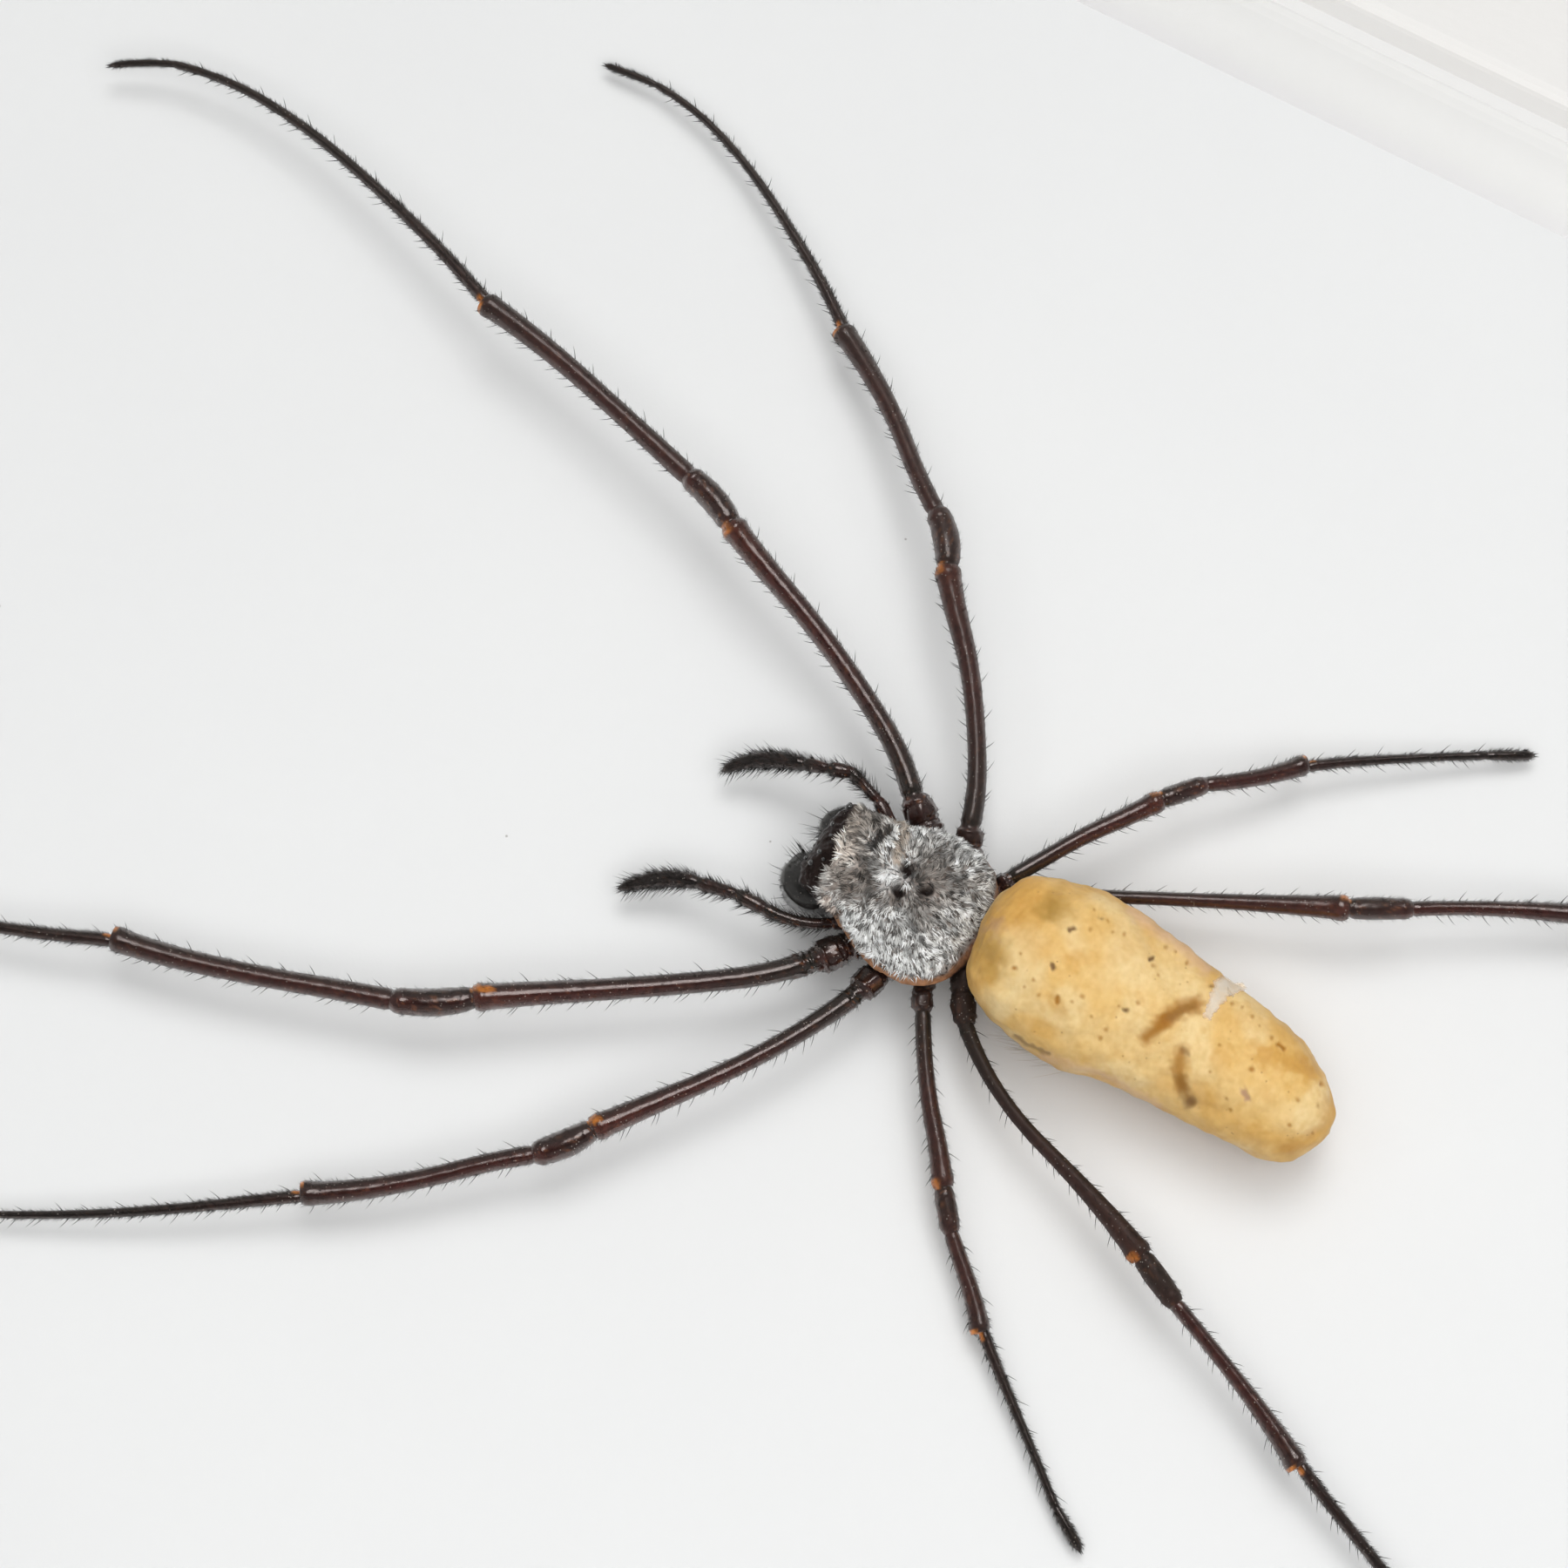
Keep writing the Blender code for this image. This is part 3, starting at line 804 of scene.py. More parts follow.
@dataclass
class Sheet:
    """A surface as rows of points that close round on themselves, with a tint for each point."""

    points: Array
    tints: Array
    normals: Array = field(init=False)

    def __post_init__(self) -> None:
        """Works out the normals, which point away from the middle of each row."""
        ahead = np.gradient(self.points, axis=0)
        around = np.roll(self.points, -1, axis=1) - np.roll(self.points, 1, axis=1)
        normals = unit(np.cross(around, ahead))
        outward = self.points - self.points.mean(axis=1, keepdims=True)
        if (normals * outward).sum() < 0:
            normals = -normals
        self.normals = normals

    def raised(self, heights: Array) -> Sheet:
        """The surface moved out along its normals."""
        return Sheet(self.points + self.normals * heights[..., None], self.tints)

    def bed(self, rng: Random, count: int, weights: Array) -> Bed:
        """Scatters roots over the surface.

        Args:
            rng: The source of random numbers.
            count: How many roots there are.
            weights: How thickly they stand at each point.

        Returns:
            The roots with their normals, directions and tints.
        """
        ahead = np.gradient(self.points, axis=0)
        around = np.roll(self.points, -1, axis=1) - self.points
        area = np.linalg.norm(np.cross(ahead, around), axis=-1)
        chance = (area * weights)[:-1]
        chosen = rng.choice(chance.size, count, p=(chance / chance.sum()).ravel())
        row, column = np.unravel_index(chosen, chance.shape)
        beside = (column + 1) % self.points.shape[1]
        down, across = rng.random((2, count, 1))
        near = self.points[row, column] * (1 - across) + self.points[row, beside] * across
        far = self.points[row + 1, column] * (1 - across) + self.points[row + 1, beside] * across
        normals = self.normals[row, column]
        along = unit(ahead[row, column] - normals * (ahead[row, column] * normals).sum(-1, keepdims=True))
        return Bed(near * (1 - down) + far * down, normals, along, self.tints[row, column])


@dataclass(frozen=True)
class HairKind:
    """One kind of hair. Lengths and the radius are millimetres, and `lean` is degrees up from the surface."""

    length: tuple[float, float]
    radius: float
    lean: tuple[float, float]
    scatter: float = 12.0
    curl: float = 0.12
    flat: float = 1.0
    taper: float = 0.7
    rings: int = 2


class Draft:
    """The points, faces and tints of one piece, gathered before its mesh is made.

    A hair's cross-section has CORNERS corners.
    """

    CORNERS = 3

    def __init__(self) -> None:
        """Starts with nothing."""
        self.points: list[Array] = []
        self.tints: list[Array] = []
        self.faces: list[list[int]] = []
        self.finish_of_face: list[Array] = []
        self.total = 0

    def put(self, points: Array, faces: Sequence[Array], tints: Array, finish: int = 0) -> None:
        """Adds points with the faces between them.

        Args:
            points: Places in millimetres.
            faces: Arrays of faces, each row the numbers of its corners.
            tints: Red, green, blue and a mask for each point.
            finish: Which of the piece's finishes they have.
        """
        for group in faces:
            self.faces.extend((group + self.total).tolist())
            self.finish_of_face.append(np.full(len(group), finish, np.int32))
        self.points.append(points)
        self.tints.append(tints)
        self.total += len(points)

    def tube(self, sheet: Sheet, finish: int = 0) -> None:
        """Adds a surface and shuts both of its ends, each at the middle of its last row.

        Args:
            sheet: The surface.
            finish: Which of the piece's finishes it has.
        """
        rows, sides = sheet.points.shape[:2]
        ring = np.arange(sides)
        after = (ring + 1) % sides
        start = (np.arange(rows - 1) * sides)[:, None]
        quads = np.stack([start + ring, start + after, start + sides + after, start + sides + ring], -1)
        first, last = rows * sides, rows * sides + 1
        near = np.stack([after, ring, np.full(sides, first)], -1)
        bottom = (rows - 1) * sides
        far = np.stack([bottom + ring, bottom + after, np.full(sides, last)], -1)
        ends = sheet.points[[0, -1]].mean(axis=1)
        points = np.concatenate([sheet.points.reshape(-1, 3), ends])
        tints = np.concatenate([sheet.tints.reshape(-1, 4), sheet.tints[[0, -1], 0]])
        faces = [quads.reshape(-1, 4), near, far]
        corners = points[faces[0]]
        outward = np.cross(corners[:, 1] - corners[:, 0], corners[:, 2] - corners[:, 0])
        if ((corners[:, 0] - points[0]) * outward).sum() < 0:
            faces = [group[:, ::-1] for group in faces]
        self.put(points, faces, tints, finish)

    def hairs(self, rng: Random, bed: Bed, kind: HairKind, finish: int = 0) -> None:
        """Grows one tapering hair from each root.

        Args:
            rng: The source of random numbers.
            bed: The roots, with the directions that the hairs lie in.
            kind: How the hairs look.
            finish: Which of the piece's finishes they have.
        """
        count = len(bed.roots)
        length = rng.uniform(*kind.length, (count, 1))
        lean = np.radians(rng.uniform(*kind.lean, (count, 1)))
        swing = np.radians(rng.normal(0, kind.scatter, (count, 1)))
        across = unit(np.cross(bed.normals, bed.along))
        level = bed.along * np.cos(swing) + across * np.sin(swing)
        aim = level * np.cos(lean) + bed.normals * np.sin(lean)
        side = unit(np.cross(aim, bed.normals))
        upper = np.cross(aim, side)
        bend = level * kind.curl * length
        angles = full_turn(self.CORNERS) - math.pi / 2
        points = []
        for ring in range(kind.rings):
            share = ring / kind.rings
            middle = bed.roots + aim * length * share + bend * share**2
            radius = kind.radius * (1 - kind.taper * share)
            for angle in angles:
                reach = side * math.cos(angle) * kind.flat + upper * math.sin(angle) / kind.flat
                points.append(middle + reach * radius)
        points.append(bed.roots + aim * length + bend)
        size = len(points)
        starts = (np.arange(count) * size)[:, None, None]
        corner = np.arange(self.CORNERS)
        after = (corner + 1) % self.CORNERS
        top = self.CORNERS * (kind.rings - 1)
        side = np.stack([corner, after, self.CORNERS + after, self.CORNERS + corner], -1)
        quads = [ring + side for ring in range(0, top, self.CORNERS)]
        tips = np.stack([top + corner, top + after, np.full(self.CORNERS, size - 1)], -1)
        faces = [(tips[None] + starts).reshape(-1, 3)]
        if quads:
            faces.append((np.concatenate(quads)[None] + starts).reshape(-1, 4))
        tints = np.repeat(bed.tints, size, axis=0)
        self.put(np.stack(points, axis=1).reshape(-1, 3), faces, tints, finish)

    def piece(
        self, name: str, finishes: Sequence[Finish], slot: PieceSlot, smooth: bool = True
    ) -> bpy.types.Object:
        """Makes the piece, which rides on the part.

        Args:
            name: The piece's name.
            finishes: Its finishes, in the order that its faces number them.
            slot: A material slot of the part. It is not used.
            smooth: Whether its faces are shaded as one round surface.

        Returns:
            The new object.
        """
        places = (np.concatenate(self.points) + np.array(SPIDER_PLACE)) * MM
        mesh = bpy.data.meshes.new(name)
        mesh.from_pydata(places.tolist(), [], self.faces)
        colours = mesh.color_attributes.new("tint", "FLOAT_COLOR", "POINT")
        colours.data.foreach_set("color", np.concatenate(self.tints).astype(np.float32).ravel())
        for finish in finishes:
            mesh.materials.append(finish.material())
        mesh.polygons.foreach_set("material_index", np.concatenate(self.finish_of_face))
        if smooth:
            mesh.shade_smooth()
        mesh.update()
        thing = bpy.data.objects.new(name, mesh)
        bpy.context.scene.collection.objects.link(thing)
        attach(thing, "root")
        log.info("%s: %d faces", name, len(mesh.polygons))
        return thing


def tinted(shape: tuple[int, ...], colour: Colour, mask: float = 0.0) -> Array:
    """Tints of one colour."""
    return np.broadcast_to(np.array([*colour, mask], float), (*shape, 4)).copy()


def painted(tints: Array, cover: Array, colour: Colour) -> Array:
    """Lays a colour over tints.

    Args:
        tints: The tints below it.
        cover: How much of the colour lies on each, from 0 to 1.
        colour: The colour.

    Returns:
        The new tints.
    """
    result = tints.copy()
    result[..., :3] += (np.array(colour) - tints[..., :3]) * cover[..., None]
    return result


class Canvas:
    """A sheet as the photograph sees it, ready to be pressed and painted where its marks are."""

    def __init__(self, sheet: Sheet, colour: Colour) -> None:
        """Finds the pixel of each point, and how squarely it faces the camera.

        Args:
            sheet: The plain sheet.
            colour: Its colour before any mark.
        """
        self.sheet = sheet
        self.flat = sheet.points.reshape(-1, 3)
        self.normals = sheet.normals.reshape(-1, 3)
        self.pixels = VIEW.pixels(self.flat)
        self.seen = VIEW.facing(self.normals)
        self.relief = np.zeros(len(self.flat))
        self.tints = tinted((len(self.flat),), colour)

    def cover(self, mark: Mark) -> Array:
        """How much of a mark lies on each point."""
        return mark.cover(self.pixels) * self.seen

    def press(self, marks: Sequence[Mark], depth: float) -> None:
        """Sinks marks into the surface by a depth in millimetres. A negative one raises them."""
        for mark in marks:
            self.relief = self.relief - depth * self.cover(mark)

    def paint(self, cover: Array, colour: Colour) -> None:
        """Lays a colour over the surface where there is cover."""
        self.tints = painted(self.tints, cover, colour)

    def stain(self, marks: Sequence[Mark], share: float = 1.0) -> None:
        """Paints marks in their own colours, in order."""
        for mark in marks:
            self.paint(self.cover(mark) * share, mark.colour)

    def finished(self) -> Sheet:
        """Raises and colours the sheet.

        Returns:
            The new sheet.
        """
        shape = self.sheet.points.shape[:2]
        sheet = self.sheet.raised(self.relief.reshape(shape))
        sheet.tints = self.tints.reshape(*shape, 4)
        return sheet


# The legs and palps: each is its root, then its segments from the body outwards, with their length, the
# headings along them in degrees clockwise from the head's direction, and the height of their far end
Segment = tuple[float, tuple[float, ...], float]
LEGS: dict[str, tuple[Point, tuple[Segment, ...]]] = {
    "leg_right_1": ((0.5, -9.7, 4.2), (
        (3.5, (43,), 4.4), (2.1, (37,), 5.0), (23.7, (47, 30, 26, 21, 25), 7.2), (5.0, (34, 12), 6.8),
        (20.4, (17, 16, 9), 6.0), (31.9, (26, 19, 16, 7, -12), 3.2), (5.0, (-19, -33), 2.5),
    )),
    "leg_right_2": ((0.7, -12.2, 4.1), (
        (2.6, (53,), 4.3), (1.5, (67,), 4.9), (19.1, (75, 61, 56, 47, 53), 6.6), (4.7, (69, 36), 6.0),
        (16.7, (36, 44, 36, 31), 3.6), (25.3, (43, 34, 31, 22, 5), 1.6), (4.3, (0, -6), 1.2),
    )),
    "leg_right_3": ((-0.1, -13.8, 4.0), (
        (1.4, (96,), 4.2), (1.0, (112,), 4.5), (12.0, (122, 121, 128, 124), 5.2), (3.6, (129,), 4.6),
        (7.8, (144, 129), 3.0), (13.1, (145, 148), 1.6), (3.6, (149,), 1.2),
    )),
    "leg_right_4": ((-0.8, -15.1, 3.6), (
        (2.2, (114,), 3.2), (1.8, (121,), 2.9), (21.2, (155, 156, 157), 5.2), (4.6, (150,), 4.6),
        (12.7, (148, 157), 3.6), (20.7, (153, 162), 1.8), (3.7, (159,), 1.2),
    )),
    "leg_left_1": ((-5.1, -8.5, 4.1), (
        (3.5, (-53,), 4.3), (2.4, (-55,), 4.7), (23.8, (-48, -35, -33, -32, -33), 5.0),
        (5.8, (-40, -18), 4.6), (20.3, (-17, -18, -15, -9), 4.0), (29.1, (-25, -17, -7, 7), 2.0),
        (5.2, (26, 35), 1.4),
    )),
    "leg_left_2": ((-5.7, -10.5, 4.1), (
        (2.8, (-67,), 4.3), (2.3, (-76,), 4.7), (20.7, (-66, -58, -52, -52), 4.6), (4.5, (-61, -41), 4.2),
        (16.3, (-37, -43, -37, -30), 3.4), (24.0, (-36, -31, -25), 1.6), (4.5, (-20, -14), 1.2),
    )),
    "leg_left_3": ((-5.7, -12.2, 4.0), (
        (2.3, (-102,), 4.0), (1.5, (-120,), 3.9), (12.4, (-119, -123, -130, -123), 3.0),
        (3.2, (-128,), 2.6), (7.2, (-137, -137, -129), 2.0), (12.9, (-142, -140), 1.2), (3.4, (-148,), 1.0),
    )),
    "leg_left_4": ((-4.9, -14.5, 3.9), (
        (2.1, (-111,), 4.1), (2.3, (-124,), 4.3), (20.5, (-136, -150, -162, -159, -154), 5.0),
        (4.0, (-154,), 4.6), (13.7, (-158, -156, -151), 3.4), (19.5, (-157,), 1.8), (3.6, (-157,), 1.2),
    )),
}
PALPS: dict[str, tuple[Point, tuple[Segment, ...]]] = {
    "palp_right": ((1.6, -5.1, 4.8), (
        (1.9, (33,), 5.0), (2.7, (19,), 5.2), (1.7, (-18,), 5.2), (1.9, (-12,), 4.6),
        (6.4, (-8, -23, -54), 2.4),
    )),
    "palp_left": ((-6.1, -5.9, 4.3), (
        (1.2, (-29,), 4.4), (4.9, (-37, 3), 4.6), (2.3, (1,), 4.4), (3.0, (-8,), 3.8),
        (6.0, (-7, -31, -45), 2.2),
    )),
}
# Widths of each segment at its start, middle and end
Widths = tuple[tuple[float, float, float], ...]
LEG_WIDTHS: dict[str, Widths] = {
    "1": (
        (1.7, 2.1, 2.0), (1.9, 2.05, 1.7), (1.65, 1.5, 1.9), (1.6, 1.95, 1.6),
        (1.55, 1.45, 1.75), (0.95, 0.75, 0.55), (0.5, 0.5, 0.4),
    ),
    "2": (
        (1.5, 1.9, 1.7), (1.7, 1.85, 1.5), (1.5, 1.35, 1.85), (1.5, 1.95, 1.5),
        (1.35, 1.35, 1.7), (0.9, 0.65, 0.5), (0.45, 0.5, 0.4),
    ),
    "3": (
        (1.4, 1.7, 1.5), (1.45, 1.6, 1.3), (1.15, 1.2, 1.55), (1.3, 1.45, 1.2),
        (1.1, 1.2, 1.45), (0.85, 0.65, 0.6), (0.6, 0.75, 0.55),
    ),
    "4": (
        (1.5, 1.9, 1.7), (1.65, 1.75, 1.4), (1.15, 1.0, 1.8), (1.4, 1.6, 1.25),
        (1.1, 1.1, 1.65), (0.9, 0.75, 0.55), (0.5, 0.5, 0.4),
    ),
}
PALP_WIDTHS: Widths = (
    (0.9, 1.0, 0.9), (0.8, 0.8, 0.95), (0.9, 1.05, 0.85), (0.8, 0.95, 0.9), (1.0, 1.2, 0.45)
)
BEND_STEPS = 24


class Part(Enum):
    """The segments of a limb, with the hairs on a millimetre of each and how knobbly it is.

    LEG_BASE is the coxa and the trochanter.
    """

    LEG_BASE = (24, 1.0)
    FEMUR = (40, 0.12)
    PATELLA = (36, 0.35)
    TIBIA = (46, 0.12)
    METATARSUS = (90, 0.05)
    TARSUS = (120, 0.05)
    PALP_BASE = (30, 0.5)
    PALP_RUN = (110, 0.25)
    PALP_TIP = (200, 0.1)

    @property
    def hairs(self) -> float:
        """Hairs on each millimetre."""
        return self.value[0]

    @property
    def knobbly(self) -> float:
        """How strong its lumps are."""
        return self.value[1]


LEG_PARTS = (
    Part.LEG_BASE, Part.LEG_BASE, Part.FEMUR, Part.PATELLA, Part.TIBIA, Part.METATARSUS, Part.TARSUS
)
PALP_PARTS = (Part.PALP_BASE, Part.PALP_RUN, Part.PALP_RUN, Part.PALP_RUN, Part.PALP_TIP)
SPINY_PARTS = (Part.FEMUR, Part.TIBIA, Part.METATARSUS, Part.PALP_RUN, Part.PALP_TIP)

# Colours along a limb, from the start to the end of each segment
BLACK_GREEN: Colour = (0.011, 0.0105, 0.008)
RED_BROWN: Colour = (0.042, 0.011, 0.009)
DEEP_RED: Colour = (0.066, 0.017, 0.011)
BROWN: Colour = (0.023, 0.010, 0.0085)
BLACK: Colour = (0.008, 0.0072, 0.0065)
ORANGE: Colour = (0.58, 0.19, 0.02)
RUST: Colour = (0.26, 0.10, 0.04)
DARK_HAIR_TINT: Colour = (0.014, 0.011, 0.009)
LEG_MARKS = strokes(
    (ORANGE, 3.8, 0.9, 0.5, (553, 1134), (565, 1134.5)),
    (ORANGE, 3.0, 0.9, 0.5, (684, 1286), (690, 1283)),
    (ORANGE, 3.0, 0.7, 0.5, (667, 1279), (668, 1284)),
)
PART_TINTS: dict[Part, tuple[Colour, ...]] = {
    Part.LEG_BASE: (BROWN, BROWN),
    Part.FEMUR: (BLACK_GREEN, BROWN, RED_BROWN, RED_BROWN, DEEP_RED),
    Part.PATELLA: (BROWN, BROWN, RED_BROWN),
    Part.TIBIA: (RED_BROWN, RED_BROWN, RED_BROWN, BROWN),
    Part.METATARSUS: (BROWN, BLACK, BLACK),
    Part.TARSUS: (BLACK, BLACK),
    Part.PALP_BASE: (BROWN, BROWN),
    Part.PALP_RUN: (BROWN, BLACK_GREEN),
    Part.PALP_TIP: (BLACK, BLACK, BLACK_GREEN),
}


@dataclass(frozen=True)
class Build:
    """What sets one leg apart from the rest.

    `swell` widens its first two segments. `rough_start` is how far the knobs run on along its femur. `oval`
    is how flattened its cross-section is, with the sign of the way that it turns. `dull` is its lack of shine
    up to the patella and beyond it.
    """

    swell: float = 1.0
    rough_start: float = 0.0
    oval: float = 0.0
    dull: tuple[float, float] = (0.0, 0.0)


BUILDS: dict[str, Build] = {
    "leg_right_1": Build(swell=1.14, dull=(0.1, 0.45)),
    "leg_right_2": Build(swell=1.12, dull=(0.5, 0.5)),
    "leg_right_3": Build(oval=-0.06),
    "leg_right_4": Build(oval=-0.06, dull=(0.25, 0.0)),
    "leg_left_1": Build(swell=1.12, rough_start=1.7, oval=0.06, dull=(0.0, 0.2)),
    "leg_left_2": Build(swell=1.14, rough_start=0.9, oval=0.06),
    "leg_left_3": Build(dull=(0.5, 0.4)),
    "leg_left_4": Build(dull=(1.0, 0.15)),
}


@dataclass
class Line:
    """The middle line of a limb at many stations.

    Each has its radius, its segment, the share of the segment before it, its distance from both ends, and how
    knobbly the limb is there.
    """

    centres: Array
    radii: Array
    part: Array
    share: Array
    from_start: Array
    to_end: Array
    knobs: Array
    tangents: Array = field(init=False)
    sides: Array = field(init=False)
    uppers: Array = field(init=False)

    def __post_init__(self) -> None:
        """Works out the directions at each station."""
        self.tangents = unit(np.gradient(self.centres, axis=0))
        self.sides = unit(np.cross(self.tangents, (0.0, 0.0, 1.0)))
        self.uppers = np.cross(self.sides, self.tangents)


@dataclass(frozen=True)
class Limb:
    """A leg or a palp: a pinched and ridged skin with fine hairs, stout spines and claws."""

    name: str
    root: Point
    segments: tuple[Segment, ...]
    widths: Widths
    parts: tuple[Part, ...]
    slot: PieceSlot
    sides: int = 32
    step: float = 0.26
    joint_step: float = 0.075
    joint_zone: float = 0.9
    start_pinch: float = 0.88
    end_pinch: float = 0.9
    stout_pinch: float = 0.83
    knob_spacing: float = 0.55
    spine_spacing: float = 0.8
    palp_spine_spacing: float = 0.14
    spine_gap: float = 1.0
    claw_spread: float = 0.08
    collar: float = 0.07
    knob_height: float = 0.055
    lump_height: float = 0.035
    fine_hair: HairKind = HairKind((0.2, 0.42), 0.016, (24, 60), scatter=18, rings=1)
    palp_hair: HairKind = HairKind((0.3, 0.65), 0.016, (24, 60), scatter=18, rings=1)
    spine: HairKind = HairKind((0.6, 0.95), 0.036, (38, 58), scatter=10, curl=0.16, rings=3)
    palp_spine: HairKind = HairKind((0.5, 1.1), 0.026, (38, 58), scatter=10, curl=0.16, rings=3)
    claw: HairKind = HairKind((0.45, 0.5), 0.05, (-4, 4), scatter=5, curl=0.1, rings=3)
    # The segment before each soft joint, how much of its skin shows, and how far before and after it
    soft_joints: tuple[tuple[Part, float, float, float], ...] = (
        (Part.TIBIA, 1.0, 0.35, 0.75), (Part.FEMUR, 0.7, 0.7, 0.2)
    )

    @property
    def seed(self) -> int:
        """A number of its own for each limb."""
        return sum(ord(letter) * place for place, letter in enumerate(self.name, start=3))

    @property
    def build_notes(self) -> Build:
        """What sets this limb apart."""
        return BUILDS.get(self.name, Build())

    @property
    def is_leg(self) -> bool:
        """Legs have spines and claws, and a bare orange joint before the metatarsus."""
        return self.name.startswith("leg")

    def _stations(self, length: float) -> Array:
        """Steps along a segment, closer together near its joints.

        Args:
            length: The segment's length.

        Returns:
            Distances from its start.
        """
        zone = min(self.joint_zone, length / 3)
        near = np.arange(0.02, zone, self.joint_step)
        middle = np.linspace(zone, length - zone, max(int((length - 2 * zone) / self.step), 2))
        return np.concatenate([near, middle, length - near[::-1]])

    def line(self) -> Line:
        """Follows the segments outwards from the root.

        Returns:
            The limb's middle line.
        """
        start = np.array(self.root)
        gathered: list[tuple[Array, ...]] = []
        shares = (np.arange(BEND_STEPS) + 0.5) / BEND_STEPS
        for index, (length, headings, end_height) in enumerate(self.segments):
            rise = end_height - start[2]
            pace = math.sqrt(length**2 - rise**2) / BEND_STEPS
            marks = np.linspace(0, 1, len(headings)) if len(headings) > 1 else [0.0]
            turns = np.radians(np.interp(shares, marks, headings))
            climb = np.full(BEND_STEPS, rise / BEND_STEPS)
            strides = np.stack([np.sin(turns) * pace, np.cos(turns) * pace, climb], 1)
            path = np.vstack([start, start + np.cumsum(strides, axis=0)])
            distances = self._stations(length)
            share = distances / length
            steps = np.linspace(0, 1, BEND_STEPS + 1)
            centres = np.stack([np.interp(share, steps, path[:, axis]) for axis in range(3)], 1)
            first, middle, last = self.widths[index]
            bulge = 4 * share * (1 - share) * (middle - (first + last) / 2)
            radii = (first + (last - first) * share + bulge) / 2
            part = np.full(len(share), index)
            knobs = np.full(len(share), self.parts[index].knobbly)
            if self.parts[index] is Part.FEMUR and self.build_notes.rough_start:
                knobs = np.maximum(knobs, eased(distances / self.build_notes.rough_start, 1.2, 0.8))
            gathered.append((centres, radii, part, share, distances, length - distances, knobs))
            start = path[-1]
        return Line(*(np.concatenate(column) for column in zip(*gathered)))

    def _pinched(self, line: Line) -> Array:
        """Draws the limb in at its joints, with a low collar just before each one.

        Args:
            line: The middle line.

        Returns:
            The radius at each station.
        """
        first, last = line.part == 0, line.part == len(self.segments) - 1
        stout = np.where((line.part < 2) & self.is_leg, 1, 0)
        opening = self.start_pinch + (1 - self.start_pinch) * eased(line.from_start, 0, 0.45)
        collar = 1 + self.collar * (1 - stout) * np.exp(-(((line.to_end - 0.55) / 0.32) ** 2))
        narrow = self.end_pinch + (self.stout_pinch - self.end_pinch) * stout
        closing = narrow + (1 - narrow) * eased(line.to_end / (1 + stout), 0, 0.32)
        tip = np.sqrt(np.clip(line.to_end / 0.45, 0.02, 1))
        swell = np.where(line.part < 2, self.build_notes.swell, 1.0)
        return swell * line.radii * np.where(first, 1, opening) * np.where(last, tip, collar * closing)

    def _bare_side(self) -> float:
        """The angle round the limb at which the joint's soft skin shows: left of its run on right legs."""
        return math.pi if "right" in self.name else 0.0

    def _soft_skin(self, line: Line, angles: Array) -> Array:
        """Works out how much of the orange joint skin shows, at the ends of the femur and of the tibia.

        Args:
            line: The middle line.
            angles: Angles round it.

        Returns:
            A share for each angle at each station.
        """
        side = eased(np.cos(angles - self._bare_side()), 0.1, 0.75)
        cover = np.zeros((len(line.radii), len(angles)))
        for before, strength, ahead, behind in self.soft_joints if self.is_leg else ():
            index = self.parts.index(before)
            end = (line.part == index) * eased(line.to_end, ahead, ahead * 0.55)
            start = (line.part == index + 1) * eased(line.from_start, behind, behind * 0.55)
            cover += strength * (end + start)[:, None] * side
        return np.clip(cover, 0, 1)

    def sheet(self, line: Line) -> Sheet:
        """Wraps the skin round the middle line.

        Args:
            line: The middle line.

        Returns:
            The skin, with its lumps and colours.
        """
        angles = full_turn(self.sides)
        radii = self._pinched(line)
        ridges = 1 + 0.018 * np.cos(3 * angles + 0.8) + 0.01 * np.cos(5 * angles + 1.9)
        towards = np.arctan2(line.uppers @ VIEW.back, line.sides @ VIEW.back)[:, None]
        ridges = ridges + self.build_notes.oval * np.sin(2 * (angles - towards))
        knobs = line.knobs[:, None]
        ring = spokes(angles, line.sides, line.uppers)
        rough = line.centres[:, None] + ring * radii[:, None, None]
        lumps = self.lump_height * knobs * ripples(rough, 0.8, self.seed)
        lumps = lumps + 0.008 * ripples(rough, 0.5, self.seed + 1)
        lumps = lumps + self.lump_height * knobs**1.5 * ripples(rough, 0.34, self.seed + 5)
        turns = line.from_start[:, None] * 2 * math.pi / self.knob_spacing
        wander = 0.8 * ripples(rough, 1.4, self.seed + 3)
        lumps = lumps + self.knob_height * knobs**2 * np.sin(turns + wander)
        centres = line.centres
        if self.is_leg:
            bare = math.cos(self._bare_side())
            leaving = (line.part == self.parts.index(Part.METATARSUS)) * np.exp(-line.from_start / 1.6)
            ending = (line.part == self.parts.index(Part.TIBIA)) * np.exp(-line.to_end / 0.7)
            centres = centres + line.sides * (bare * (0.1 * ending - 0.16 * leaving))[:, None]
        reach = radii[:, None] * ridges * (1 + lumps)
        points = centres[:, None] + ring * reach[..., None]
        return Sheet(points, self._tints(line, angles, rough))

